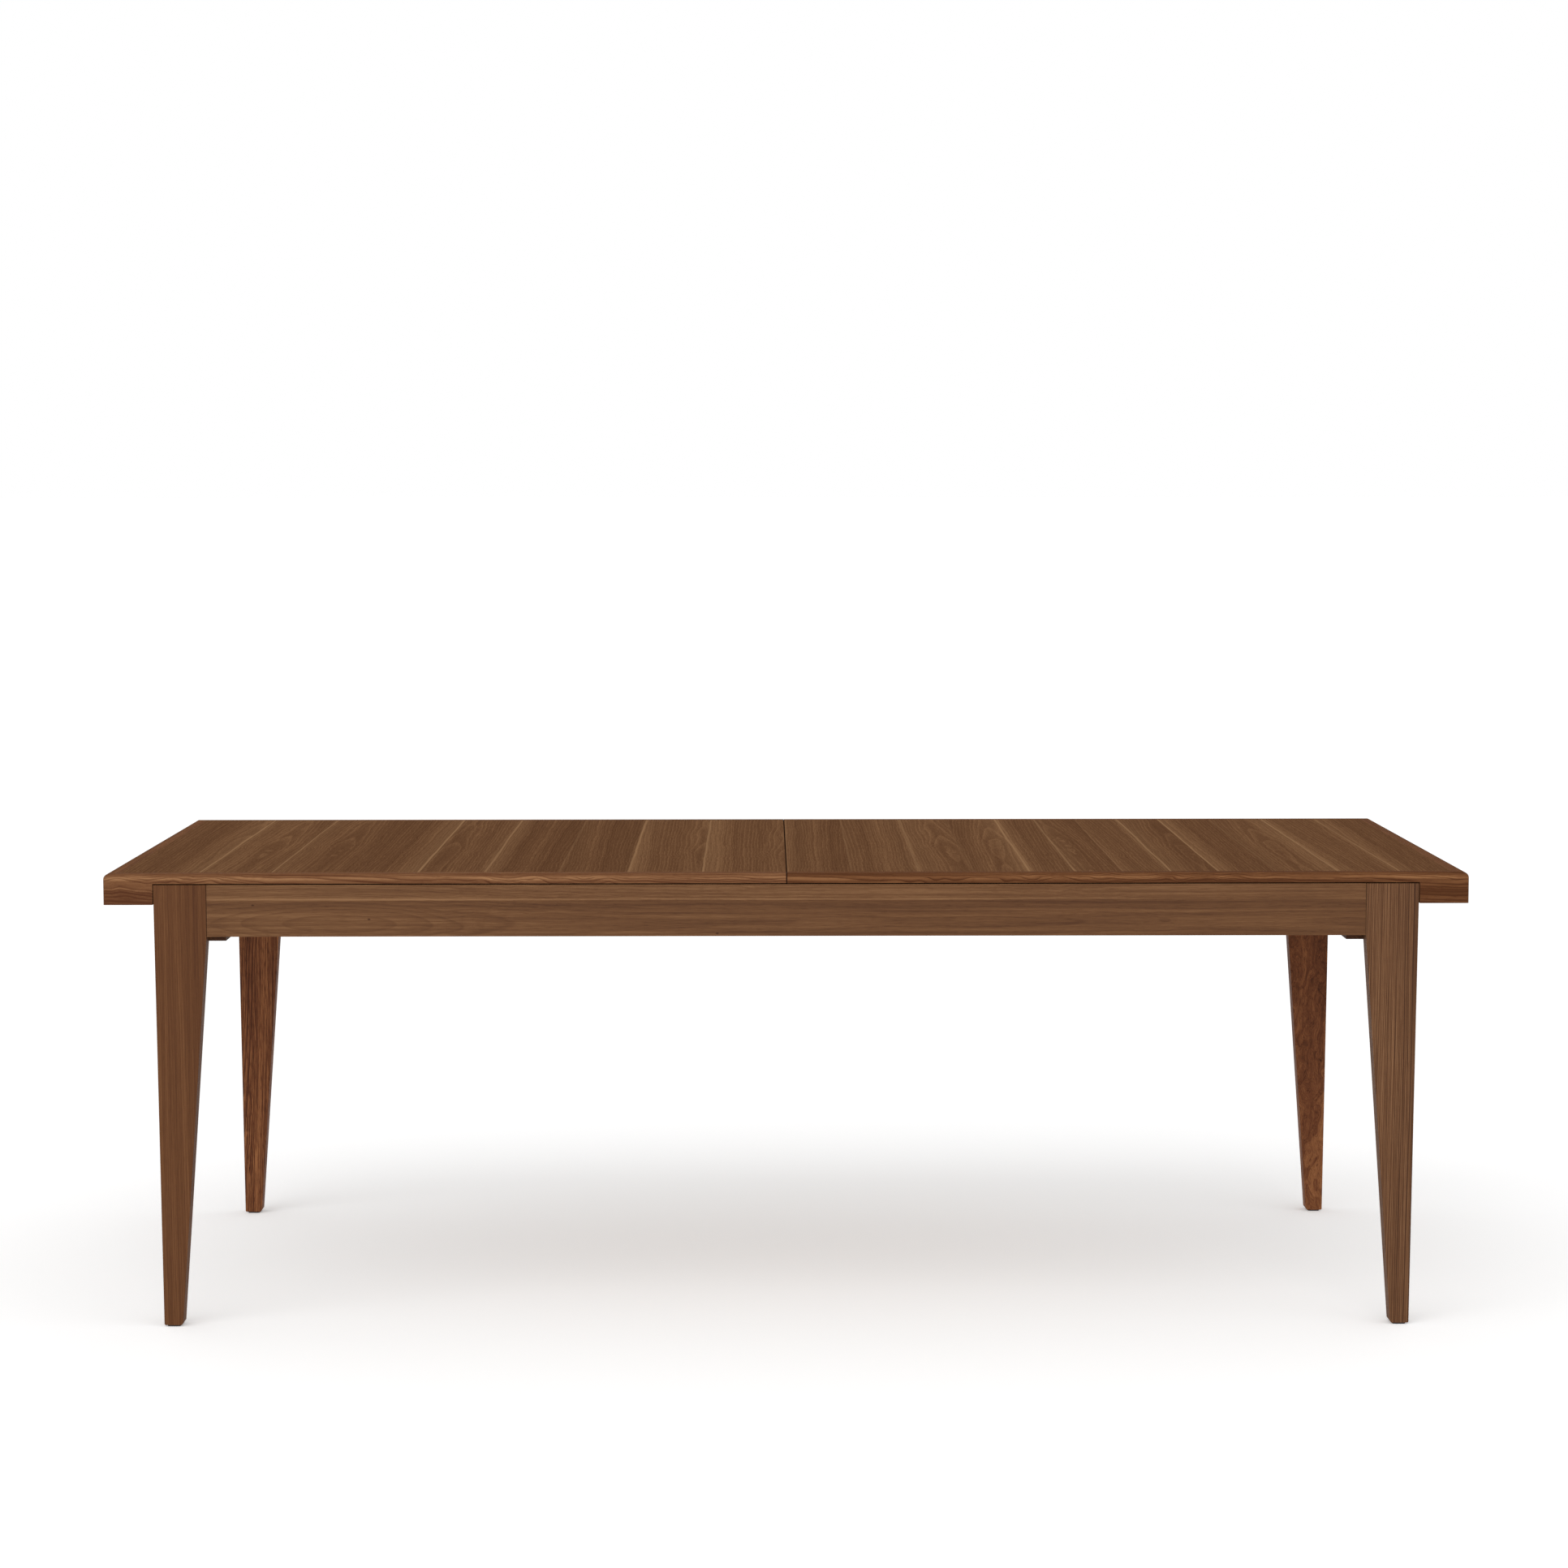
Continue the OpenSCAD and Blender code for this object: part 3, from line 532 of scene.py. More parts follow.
swell = calc(g, "SUBTRACT", 1.0, calc(g, "DIVIDE", 1.0, swell))
depth = madd(g, swell, given["Bow"], depth)
radius = calc(g, "SQRT", madd(g, depth, depth, calc(g, "MULTIPLY", y, y)))
age = calc(g, "DIVIDE", radius, given["Ring Width"])
uneven = line_noise(g, madd(g, age, UNEVEN_RATE, given["Seed"]), detail=1.0)
age = madd(g, uneven, UNEVEN_BY, age)
part = calc(g, "FRACT", age)
late = calc(g, "MULTIPLY", calc(g, "POWER", part, LATE_POWER),
            smooth(g, part, RING_END, 1.0, 1.0, 0.0))
g.links.new(late, result["Rings"])
bands = line_noise(g, madd(g, age, BAND_RATE, given["Seed"]), detail=2.5)
g.links.new(bands, result["Bands"])

# %% [markdown]
# Along the grain run fibres and open pores. The same noise is stretched by different
# amounts: streaks a hand long and a few millimetres wide, then much finer fibre,
# then the short dark pores that walnut is known for.

# %% Group: wood fibre
g, given, result = new_group(
    "wood_fibre", {"Position": ORIGIN, "Seed": 0.0},
    {"Streaks": "Float", "Fibre": "Float", "Pores": "Float"})
STRANDS = {"Streaks": ((3.2, 130.0, 130.0), 3.0), "Fibre": ((26.0, 900.0, 900.0), 2.0)}
PORE_CELLS, PORE_START, PORE_FULL = (70.0, 1700.0, 1700.0), 0.62, 0.72
for name, (cells, detail) in STRANDS.items():
    strands = noise(g, given["Position"], cells, given["Seed"], detail, rough=0.6)[0]
    g.links.new(strands, result[name])
holes = noise(g, given["Position"], PORE_CELLS, given["Seed"], detail=0.0)[0]
g.links.new(smooth(g, holes, PORE_START, PORE_FULL), result["Pores"])

# %% [markdown]
# Walnut's colour runs from a purplish dark brown to a light tan. One number says
# where on that scale a spot lies: it starts in the middle, and the bands, streaks,
# rings, fibre and pores each push it up or down by their own strength. Where a branch
# or a root was near, the grain curls: in patches, whose share is Curl Cover, short
# waves bend all of these together. Fade makes one end lighter, by so much a metre.

# %% Group: walnut
PATCH_CELLS, PATCH_SEED, PATCH_START, PATCH_FULL = (3.0, 9.0, 9.0), 3.0, -0.15, 0.1
WAVE_CELLS, RING_MEAN = (20.0, 34.0, 34.0), 0.18
PORE_MATT, STREAK_MATT = 0.12, 0.16
PORE_RELIEF, FIBRE_RELIEF, RING_RELIEF = -0.8, 0.5, 0.25
g, given, result = new_group(
    "walnut",
    {**CUT, "Ring Strength": 0.3, "Band Strength": 1.0, "Streak Strength": 0.7,
     "Fibre Strength": 0.35, "Pore Strength": 0.2, "Shift": 0.0, "Fade": 0.0, "Matt": 0.55,
     "Fineness": 1.0, "Curl": 0.0, "Curl Cover": 0.4,
     "Dark": srgb(80, 52, 36), "Mid": srgb(106, 74, 51), "Light": srgb(140, 104, 73)},
    {"Color": "Color", "Roughness": "Float", "Height": "Float"})
bare = calc(g, "SUBTRACT", 1.0, given["Curl Cover"])
patch = noise(g, given["Position"], PATCH_CELLS, calc(g, "ADD", given["Seed"], PATCH_SEED),
              detail=1.0)[0]
patch = smooth(g, patch, calc(g, "ADD", bare, PATCH_START), calc(g, "ADD", bare, PATCH_FULL))
waves = sway(g, noise(g, given["Position"], WAVE_CELLS, given["Seed"], detail=1.0)[1],
             calc(g, "MULTIPLY", patch, given["Curl"]))
bent = vector(g, "ADD", given["Position"], waves)
rings = use(g, "growth_rings", **{**{label: given[label] for label in CUT}, "Position": bent})
finer = join(g, 1.0, given["Fineness"], given["Fineness"])
fibres = use(g, "wood_fibre", Position=vector(g, "MULTIPLY", bent, finer), Seed=given["Seed"])
tone = madd(g, split(g, given["Position"])[0], given["Fade"],
            calc(g, "ADD", 0.5, given["Shift"]))
for source, strength in ((rings["Bands"], "Band Strength"), (fibres["Streaks"], "Streak Strength"),
                         (fibres["Fibre"], "Fibre Strength")):
    tone = madd(g, calc(g, "SUBTRACT", source, 0.5), given[strength], tone)
for source, mean, strength in ((rings["Rings"], RING_MEAN, "Ring Strength"),
                               (fibres["Pores"], 0.0, "Pore Strength")):
    tone = madd(g, calc(g, "SUBTRACT", mean, source), given[strength], tone)
darker = mix(g, calc(g, "MULTIPLY", tone, 2.0, clamp=True), given["Dark"], given["Mid"])
g.links.new(mix(g, madd(g, tone, 2.0, -1.0, clamp=True), darker, given["Light"]),
            result["Color"])
matt = madd(g, fibres["Streaks"], STREAK_MATT,
            calc(g, "SUBTRACT", given["Matt"], STREAK_MATT / 2))
g.links.new(madd(g, fibres["Pores"], PORE_MATT, matt), result["Roughness"])
relief = madd(g, fibres["Pores"], PORE_RELIEF,
              calc(g, "MULTIPLY", fibres["Fibre"], FIBRE_RELIEF))
g.links.new(madd(g, rings["Rings"], RING_RELIEF, relief), result["Height"])

# %% [markdown]
# The boards aren't one plank. They are faced with leaves of veneer, about a hand
# wide, sliced from one log and laid side by side. Most have a pale sapwood edge, with
# the darker heartwood on the other side. The list says where each leaf starts, in
# metres from the seam, and how pale its two edges are. A colour ramp with constant
# steps looks this up for any place: the colour's four parts are the leaf's two edges
# and the two strengths. Cycles keeps a ramp as samples in 256 steps, so every leaf
# starts on one of them: otherwise the look-up changes up to 9 mm past the true edge.

# %% Leaves of the top
LEAVES = [(-1.10, 0.0, 0.0), (-1.04, 0.0, 0.7), (-0.942, 0.2, 0.1), (-0.835, 0.5, 0.0),
          (-0.714, 0.0, 0.9), (-0.593, 0.1, 0.2), (-0.487, 0.6, 0.0), (-0.366, 0.2, 0.1),
          (-0.255, 0.6, 0.1), (-0.138, 0.6, 0.0), (0.0, 0.3, 0.0), (0.104, 0.2, 0.3),
          (0.211, 0.4, 0.1), (0.302, 0.1, 0.7), (0.396, 0.3, 0.1), (0.464, 0.5, 0.0),
          (0.540, 0.2, 0.2), (0.615, 0.7, 0.0), (0.699, 0.7, 0.0), (0.791, 0.2, 0.7),
          (0.894, 0.3, 0.1), (0.985, 0.5, 0.0)]
REACH, STEPS = 1.1, 256


def ramp_place(start):
    """The sample of the ramp nearest to a place: k / steps."""
    return round((0.5 + 0.5 * start / REACH) * STEPS) / STEPS


print("leaves of veneer:", len(LEAVES))

# %% [markdown]
# A place in a leaf is measured from the middle of that leaf, and a leaf with its pale
# edge on the other side is turned over. Chance slides each leaf along its grain,
# leans it and cuts it from its own place in the log. Tint changes the tone from one
# edge to the other, and sapwood shows as a light line and a soft zone at an edge.

# %% Group: veneer leaves
# A stop lies a little before its sample. A leaf with two like edges isn't turned over.
BEFORE_SAMPLE, PALER = 0.0005, 0.01
LEAF_TINT, OWN_TINT, OWN_DEPTH = 0.8, 0.1, 0.012
JOINT_FADE, BORDER_FADE = (0.0001, 0.0006), (0.0006, 0.003)
WAVER_CELLS, WAVER_BY, WAVER_FROM = (3.0, 30.0, 1.0), 0.01, -0.003
ZONE_W, ZONE_SHARE = 0.042, 0.28
g, given, result = new_group(
    "veneer_leaves", {"Position": ORIGIN, "Seed": 0.0, "Slide": 0.5, "Spread": 0.2,
                      "Lean": 0.04},
    {"Place": "Vector", "Joint": "Float", "Sapwood": "Float", "Tint": "Float"})
x, y, z = split(g, given["Position"])
look_up = put(g, "ShaderNodeValToRGB", {"Fac": madd(g, y, 0.5 / REACH, 0.5)})
ramp = look_up.color_ramp
ramp.interpolation = "CONSTANT"
ends = [leaf[0] for leaf in LEAVES[1:]] + [REACH]
for (start, first, second), end in zip(LEAVES, ends):
    stop = (ramp.elements[0] if start == -REACH
            else ramp.elements.new(ramp_place(start) - BEFORE_SAMPLE))
    stop.color = (ramp_place(start), ramp_place(end), first, second)
ramp.elements.remove(ramp.elements[-1])
red, green, first_pale = put(g, "ShaderNodeSeparateColor", {0: look_up.outputs["Color"]}).outputs
second_pale = look_up.outputs["Alpha"]
low = madd(g, red, 2 * REACH, -REACH)
high = madd(g, green, 2 * REACH, -REACH)
from_low, from_high = calc(g, "SUBTRACT", y, low), calc(g, "SUBTRACT", high, y)
chance = put(g, "ShaderNodeTexWhiteNoise", {"W": calc(g, "ADD", low, given["Seed"])},
             noise_dimensions="1D").outputs[1]
own = split(g, vector(g, "SUBTRACT", chance, MID_GREY))
along = madd(g, own[0], given["Slide"], x)
turn = calc(g, "SIGN", calc(g, "ADD", calc(g, "SUBTRACT", second_pale, first_pale), PALER))
within = calc(g, "MULTIPLY", calc(g, "SUBTRACT", from_low, from_high), 0.5)
within = calc(g, "MULTIPLY", within, turn)
g.links.new(madd(g, within, LEAF_TINT, calc(g, "MULTIPLY", own[1], OWN_TINT)),
            result["Tint"])
within = madd(g, calc(g, "MULTIPLY", own[2], given["Lean"]), x, within)
within = madd(g, own[0], given["Spread"], within)
inside = madd(g, own[1], OWN_DEPTH, z)
g.links.new(join(g, along, within, inside), result["Place"])
nearest = calc(g, "MINIMUM", from_low, from_high)
g.links.new(smooth(g, nearest, *JOINT_FADE, 1.0, 0.0), result["Joint"])
waver = noise(g, given["Position"], WAVER_CELLS, given["Seed"])[0]
waver = madd(g, waver, WAVER_BY, WAVER_FROM)
pale = 0.0
for from_edge, strength in ((from_low, first_pale), (from_high, second_pale)):
    inward = calc(g, "SUBTRACT", from_edge, waver)
    line = smooth(g, calc(g, "ABSOLUTE", inward), *BORDER_FADE, 1.0, 0.0)
    zone = smooth(g, inward, 0.0, ZONE_W, ZONE_SHARE, 0.0)
    pale = madd(g, calc(g, "ADD", line, zone), strength, pale)
g.links.new(pale, result["Sapwood"])

# %% [markdown]
# Two small features. Some pieces have a paler zone: the sapwood at the top of a rail,
# or, along the arris of a lipping, a painted highlight. It is what lies within a radius
# of a line along the grain, and a large radius makes it straight. Its border wavers,
# with a thin light line that comes and goes. And here and there a pin knot, the trace
# of a twig, is a dark dot.

# %% Groups: pale zone and pin knot
BORDER_CELLS, LINE_CELLS, LINE_SEED = (1.4, 0.0, 0.0), (1.9, 0.0, 0.0), 5.0
LINE_FADE, LINE_COMES = (0.0005, 0.0024), (0.3, 0.5)
ROUND_X, KNOT_STRETCH, KNOT_CORE = (0.0, 1.0, 1.0), (0.6, 1.0, 0.0), 0.35


def distance(tree, given, stretch):
    """How far a place lies from Middle, with each axis stretched by its own share."""
    off = vector(tree, "SUBTRACT", given["Position"], given["Middle"])
    return measure(tree, "LENGTH", vector(tree, "MULTIPLY", off, stretch))


g, given, result = new_group(
    "pale_zone", {"Position": ORIGIN, "Middle": ORIGIN, "Radius": 1.0,
                  "Border": 0.004, "Waver": 0.012, "Seed": 0.0},
    {"Zone": "Float", "Line": "Float"})
inside = calc(g, "SUBTRACT", given["Radius"], distance(g, given, ROUND_X))
waver = noise(g, given["Position"], BORDER_CELLS, given["Seed"])[0]
inside = madd(g, calc(g, "SUBTRACT", waver, 0.5), given["Waver"], inside)
g.links.new(smooth(g, calc(g, "DIVIDE", inside, given["Border"]), -0.5, 0.5), result["Zone"])
thin = smooth(g, calc(g, "ABSOLUTE", inside), *LINE_FADE, 1.0, 0.0)
comes = noise(g, given["Position"], LINE_CELLS, calc(g, "ADD", given["Seed"], LINE_SEED))[0]
g.links.new(calc(g, "MULTIPLY", thin, smooth(g, comes, *LINE_COMES)), result["Line"])

g, given, result = new_group(
    "pin_knot", {"Position": ORIGIN, "Middle": ORIGIN, "Size": 0.002},
    {"Knot": "Float"})
off = calc(g, "DIVIDE", distance(g, given, KNOT_STRETCH), given["Size"])
g.links.new(smooth(g, off, KNOT_CORE, 1.0, 1.0, 0.0), result["Knot"])

# %% [markdown]
# Even on a new table the hands that made it leave the edges a little paler, since oil
# wipes thin there; here the paler edge is partly that wear and partly a painted
# highlight. The rounded normal of the Bevel node differs from the true one only near
# an edge, which makes a mask for it.

# %% Group: edge wear and painted highlight
BENT_NORMAL, SAME_NORMAL = 0.78, 0.99
g, given, result = new_group("edge_wear_and_highlight", {"Radius": 0.0015}, {"Edge": "Float"})
rounded = put(g, "ShaderNodeBevel", {"Radius": given["Radius"]}, samples=4).outputs[0]
alike = measure(g, "DOT_PRODUCT", rounded, put(g, "ShaderNodeNewGeometry").outputs["Normal"])
g.links.new(smooth(g, alike, BENT_NORMAL, SAME_NORMAL, 1.0, 0.0), result["Edge"])

# %% [markdown]
# Where the two halves of the top meet, the groove between their eased edges lies in
# shade, and it gets painted shade: a dark line along it. The mask is what lies within
# a millimetre of the plane x = 0 in the closed table, but for the faces that look
# along x, which only show when the table opens.

# %% Group: seam, painted shade
SEAM_FADE, ALONG_X = 0.0003, (0.8, 0.9)
g, given, result = new_group("seam", {"Reach": 0.0009}, {"Seam": "Float"})
gap = calc(g, "ABSOLUTE", split(g, put(g, "ShaderNodeTexCoord").outputs["Object"])[0])
near = smooth(g, calc(g, "SUBTRACT", gap, given["Reach"]), 0.0, SEAM_FADE, 1.0, 0.0)
facing = split(g, put(g, "ShaderNodeNewGeometry").outputs["True Normal"])[0]
facing = smooth(g, calc(g, "ABSOLUTE", facing), *ALONG_X, 1.0, 0.0)
g.links.new(calc(g, "MULTIPLY", near, facing), result["Seam"])

# %% [markdown]
# Each piece of walnut is cut from a different place in the tree. Its material says
# along which axis the grain runs, where the pith lies from the middle of the piece,
# how wide the rings are and how much the tones differ.

# %% Walnut for one piece
ORDER = {"X": (0, 2, 1), "X flat": (0, 1, 2), "Y": (1, 0, 2), "Z": (2, 0, 1)}
# The pale edge colour stands partly for wear and partly for a painted highlight.
# The seam colour is painted shade in the groove between the halves.
EDGE_WEAR_AND_HIGHLIGHT, SEAM_SHADE, KNOT_DARK = srgb(168, 128, 92), srgb(44, 27, 18), srgb(52, 28, 18)
SAPWOOD, JOINT_DARK = srgb(176, 138, 100), srgb(58, 38, 27)
KNOT_SHARE, SAPWOOD_SHARE, RELIEF = 0.75, 0.5, 0.0003


def start_material(name):
    """A material, its node tree and its Principled shader."""
    made = bpy.data.materials.new(name)
    made.use_nodes = True
    return made, made.node_tree, made.node_tree.nodes["Principled BSDF"]


def raise_relief(tree, shader, height, bump):
    """Relief of up to RELIEF metres, from a height between 0 and 1."""
    relief = put(tree, "ShaderNodeBump", {"Height": height, "Strength": bump, "Distance": RELIEF})
    tree.links.new(relief.outputs[0], shader.inputs["Normal"])


def along_grain(tree, grain, middle):
    """Object coordinates from the middle of a piece, turned so that x follows the grain
    and z looks into its show face."""
    place = put(tree, "ShaderNodeTexCoord").outputs["Object"]
    axes = split(tree, vector(tree, "SUBTRACT", place, middle))
    return join(tree, *[axes[a] for a in ORDER[grain]])


def finish_wood(tree, shader, colour, wood, wear_and_highlight, bump, gloss, seam):
    """Paler edges over the colour, partly wear and partly a painted highlight, relief from the
    pores, and a plain oiled surface.
    With seam, the faces that reach the plane x = 0 get painted shade along it."""
    # The edge mask pales the colour: partly wear, partly a painted highlight.
    edge = calc(tree, "MULTIPLY", use(tree, "edge_wear_and_highlight")["Edge"], wear_and_highlight)
    colour = mix(tree, edge, colour, EDGE_WEAR_AND_HIGHLIGHT)
    if seam:
        # Painted shade: a dark line along the seam of the two halves.
        colour = mix(tree, use(tree, "seam")["Seam"], colour, SEAM_SHADE)
    tree.links.new(colour, shader.inputs["Base Color"])
    tree.links.new(wood["Roughness"], shader.inputs["Roughness"])
    raise_relief(tree, shader, wood["Height"], bump)
    shader.inputs["Specular IOR Level"].default_value = gloss


def middle_of(name):
    """The middle of a node's box."""
    low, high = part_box(name)
    return tuple(float(v) for v in (low + high) / 2)


def walnut_material(name, grain, middle, wear_and_highlight=0.12, bump=0.25, gloss=0.1, pale=(), knots=(),
                    seam=False, **figure):
    """Solid walnut. Figure sets inputs of the walnut group. Each pale zone is how much
    the zone and its line add to the tone, and the group's inputs. Knots are places
    (x, z) from the middle of a piece whose grain runs along x."""
    made, tree, shader = start_material(name)
    place = along_grain(tree, grain, middle)
    for zone, line, inputs in pale:
        edge = use(tree, "pale_zone", Position=place, Seed=figure["Seed"], **inputs)
        figure["Shift"] = madd(tree, edge["Zone"], zone, figure.get("Shift", 0.0))
        figure["Shift"] = madd(tree, edge["Line"], line, figure["Shift"])
    wood = use(tree, "walnut", Position=place, **figure)
    colour = wood["Color"]
    for x, z in knots:
        spot = use(tree, "pin_knot", Position=place, Middle=(x, z, 0.0))["Knot"]
        colour = mix(tree, calc(tree, "MULTIPLY", spot, KNOT_SHARE), colour, KNOT_DARK)
    finish_wood(tree, shader, colour, wood, wear_and_highlight, bump, gloss, seam)
    return made


def veneer_material(name, grain, middle, leaf_seed, joint=0.15, wear_and_highlight=0.1, bump=0.15, gloss=0.15,
                    seam=False, **figure):
    """Walnut veneer in leaves that lie side by side. Joint is how dark their joints are."""
    made, tree, shader = start_material(name)
    cut = use(tree, "veneer_leaves", Position=along_grain(tree, grain, middle), Seed=leaf_seed)
    wood = use(tree, "walnut", Position=cut["Place"], Shift=cut["Tint"], **figure)
    pale = mix(tree, cut["Sapwood"], wood["Color"], mix(tree, SAPWOOD_SHARE, wood["Color"], SAPWOOD))
    colour = mix(tree, calc(tree, "MULTIPLY", cut["Joint"], joint), pale, JOINT_DARK)
    finish_wood(tree, shader, colour, wood, wear_and_highlight, bump, gloss, seam)
    return made


def dress(piece, material):
    """Give a piece or CAD node one material."""
    piece.data.materials.clear()
    piece.data.materials.append(material)

# %% [markdown]
# The pieces of the frame, one by one. The front legs are plain, the right one with
# finer, greyer lines; the rear legs are redder with a strong figure. The side rails
# run lengthwise, with a long arch in the middle and a paler strip along the top. The
# end rails are seen only in shadow, and their darker tones are painted shade.

# %% Walnut on the frame
def tones(dark, middle, light):
    """The walnut group's three colours, from 8-bit display values."""
    return dict(Dark=srgb(*dark), Mid=srgb(*middle), Light=srgb(*light))


RAIL = tones((78, 49, 31), (106, 72, 46), (138, 101, 69))
LEG = tones((76, 44, 26), (96, 60, 35), (122, 82, 52))
GREY_LEG = tones((66, 41, 26), (103, 69, 45), (136, 99, 69))
RED_LEG = tones((66, 33, 18), (114, 67, 40), (156, 103, 64))

FRAME_WOOD = {
    "leg_front_left": dict(
        LEG, Seed=1.3, Pith=(0.0, 0.13, 0.05), Ring_Width=0.003, Ring_Strength=0.4,
        Band_Strength=0.6, Streak_Strength=0.9, Fibre_Strength=0.9, Fineness=2.5, Shift=-0.08,
        pale=[(0.12, 0.0, dict(Middle=(0.0, -0.99, 0.0), Border=0.006))]),
    # The zone of -0.25 at the right darkens the right edge of this leg: painted shade.
    "leg_front_right": dict(
        GREY_LEG, Seed=7.1, Pith=(0.0, -0.16, 0.07), Ring_Width=0.0022, Ring_Strength=0.9,
        Band_Strength=0.6, Streak_Strength=1.7, Fibre_Strength=1.2, Fineness=4.0,
        pale=[(-0.25, 0.0, dict(Middle=(0.0, 1.033, 0.0), Border=0.006, Waver=0.008))]),
    "leg_rear_left": dict(
        RED_LEG, Seed=3.7, Pith=(0.0, -0.06, 0.05), Ring_Width=0.0028, Wander=0.02,
        Ring_Strength=0.8, Band_Strength=0.8, Streak_Strength=1.3, Fibre_Strength=2.0,
        Pore_Strength=0.8, Fineness=1.4, Curl=0.012, Curl_Cover=0.3, Fade=-0.1, Shift=-0.04),
    # The Fade of -0.8 darkens the upper part of this leg: painted shade under the top.
    "leg_rear_right": dict(
        RED_LEG, Seed=9.2, Pith=(0.0, -0.02, 0.045), Ring_Width=0.007, Wander=0.05,
        Ring_Strength=0.3, Band_Strength=1.7, Streak_Strength=0.9, Fibre_Strength=1.0,
        Pore_Strength=0.5, Curl=0.04, Curl_Cover=0.7, Fade=-0.8, Shift=-0.03),
}
for name, figure in FRAME_WOOD.items():
    dress(nodes[name], walnut_material(name + "_walnut", "Z", middle_of(name), **figure))
RAIL_KNOTS = ((-0.860, 0.009), (-0.673, -0.014), (-0.112, -0.0375))
for name, seed, turn in (("side_rail_front", 2.0, 1), ("side_rail_rear", 12.0, -1)):
    low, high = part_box(name)
    face = (low.y - high.y) / 2 * turn
    dress(nodes[name], walnut_material(
        name + "_walnut", "X", middle_of(name), Seed=seed, Pith=(-0.72 * turn, -0.02, 0.03 * turn),
        Ring_Width=0.0035, Wander=0.008, Rise=0.0, Bow=-0.02 * turn, Ring_Strength=0.25,
        Band_Strength=0.4, Streak_Strength=1.0, Fibre_Strength=0.7, Fineness=1.4, Curl=0.009,
        Curl_Cover=0.4, Fade=-0.03 * turn, Shift=-0.06,
        pale=[(0.12, 0.4, dict(Middle=(0.0, 1.018, 0.0), Waver=0.006)),
              (-0.14, 0.0, dict(Middle=(0.0, 0.008, face), Radius=0.006, Border=0.008,
                                Waver=0.008))],
        knots=RAIL_KNOTS if turn > 0 else (), **RAIL))
# The end rails have darker tones than the rest: painted shade, as they are seen only in shadow.
for name, seed in (("end_rail_left", 4.0), ("end_rail_right", 14.0)):
    dress(nodes[name], walnut_material(
        name + "_walnut", "Y", middle_of(name), wear_and_highlight=0.05, Seed=seed, Pith=(0.0, 0.05, 0.02),
        **tones((50, 28, 18), (76, 46, 29), (106, 70, 46))))
print("walnut materials:", len(bpy.data.materials))

# %% [markdown]
# The lippings and end boards of the top are streaky and warm, and the front one on
# the left is paler. A pale line along the arris is a painted highlight, and the end
# boards are a little darker where they reach below the board. The boards themselves
# are veneered, with the grain across the table.

# %% Walnut on the top
LIPPING = tones((80, 47, 28), (116, 76, 48), (160, 115, 77))
PALE_LIPPING = tones((86, 51, 33), (120, 81, 54), (164, 121, 84))
RIM_OWN = {"left_front_lip": dict(PALE_LIPPING, Seed=28.0, Shift=-0.23),
           "right_front_lip": dict(LIPPING, Seed=35.1, Shift=-0.42)}
ARRIS_HIGHLIGHT_DROP, WIDE_R, FIRST_SEED, SEED_STEP = 0.0073, 1.0, 20.0, 3.7


def lipping_zones(name):
    """Pale zones of a lipping in its grain frame: a narrow painted highlight along the
    lower end of the arris, and a faint one down to the underside of the board."""
    low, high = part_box(name)
    middle = middle_of(name)
    axis = 0 if "end_board" in name else 1
    outer = max(low[axis], high[axis], key=abs) - middle[axis]
    arris_z, board_z = TOP_Z - ARRIS_HIGHLIGHT_DROP - middle[2], BOARD_Z + WIDE_R - middle[2]
    if "end_board" in name:
        places = [(0.0, outer, arris_z), (0.0, 0.0, board_z)]
    else:
        places = [(0.0, arris_z, outer), (0.0, board_z, 0.0)]
    # The narrow zone along the arris is a painted highlight.
    return [(0.32, 0.0, dict(Middle=places[0], Radius=0.003, Border=0.005, Waver=0.004)),
            (0.11, 0.0, dict(Middle=places[1], Radius=WIDE_R, Border=0.012, Waver=0.004))]


for number, (name, piece) in enumerate(rim.items()):
    leaf = "leaf" in name
    crosswise = leaf or "end_board" in name
    own = dict(LIPPING, Seed=FIRST_SEED + SEED_STEP * number, Shift=-0.26)
    own.update(RIM_OWN.get(name, {}))
    dress(piece, walnut_material(
        name + "_walnut", "Y" if crosswise else "X", middle_of(name),
        Pith=(0.0, 0.04, 0.05), Ring_Width=0.003,
        Wander=0.02, Rise=0.0 if crosswise else 0.02, Ring_Strength=0.5 if crosswise else 0.7,
        Band_Strength=0.5 if crosswise else 0.9, Streak_Strength=0.9,
        Curl=0.0 if crosswise else 0.016, Curl_Cover=0.5,
        Matt=0.85, gloss=0.02, pale=() if leaf else lipping_zones(name), seam=not crosswise, **own))
TOP = tones((75, 47, 30), (109, 76, 52), (148, 110, 77))
for name, grain in (("left_board", "Y"), ("right_board", "Y"), ("lower_leaf_board", "X flat"),
                    ("upper_leaf_board", "X flat")):
    middle = (0.0, 0.03, middle_of(name)[2]) if "leaf" in name else (0.0, 0.0, TOP_Z)
    dress(nodes[name], veneer_material(
        name + "_veneer", grain, middle, Pith=(0.0, -0.06, -0.03), Ring_Width=0.005,
        Wander=0.03, Rise=0.012, Ring_Strength=-0.28, Band_Strength=0.6, Streak_Strength=0.4,
        Fibre_Strength=0.7, Pore_Strength=0.3, Fineness=1.3, Curl=0.013, Curl_Cover=0.4,
        Matt=0.9, gloss=0.0, leaf_seed=17.0, seam="leaf" not in name, **TOP))
print("walnut materials:", len(bpy.data.materials))

# %% [markdown]
# Inside, the slides are of beech, pale and even with small darker flecks. The racks,
# pinions and pads are natural nylon, the glides dark nylon, the screws and pins zinc
# plated steel, and the leaves rest on felt.

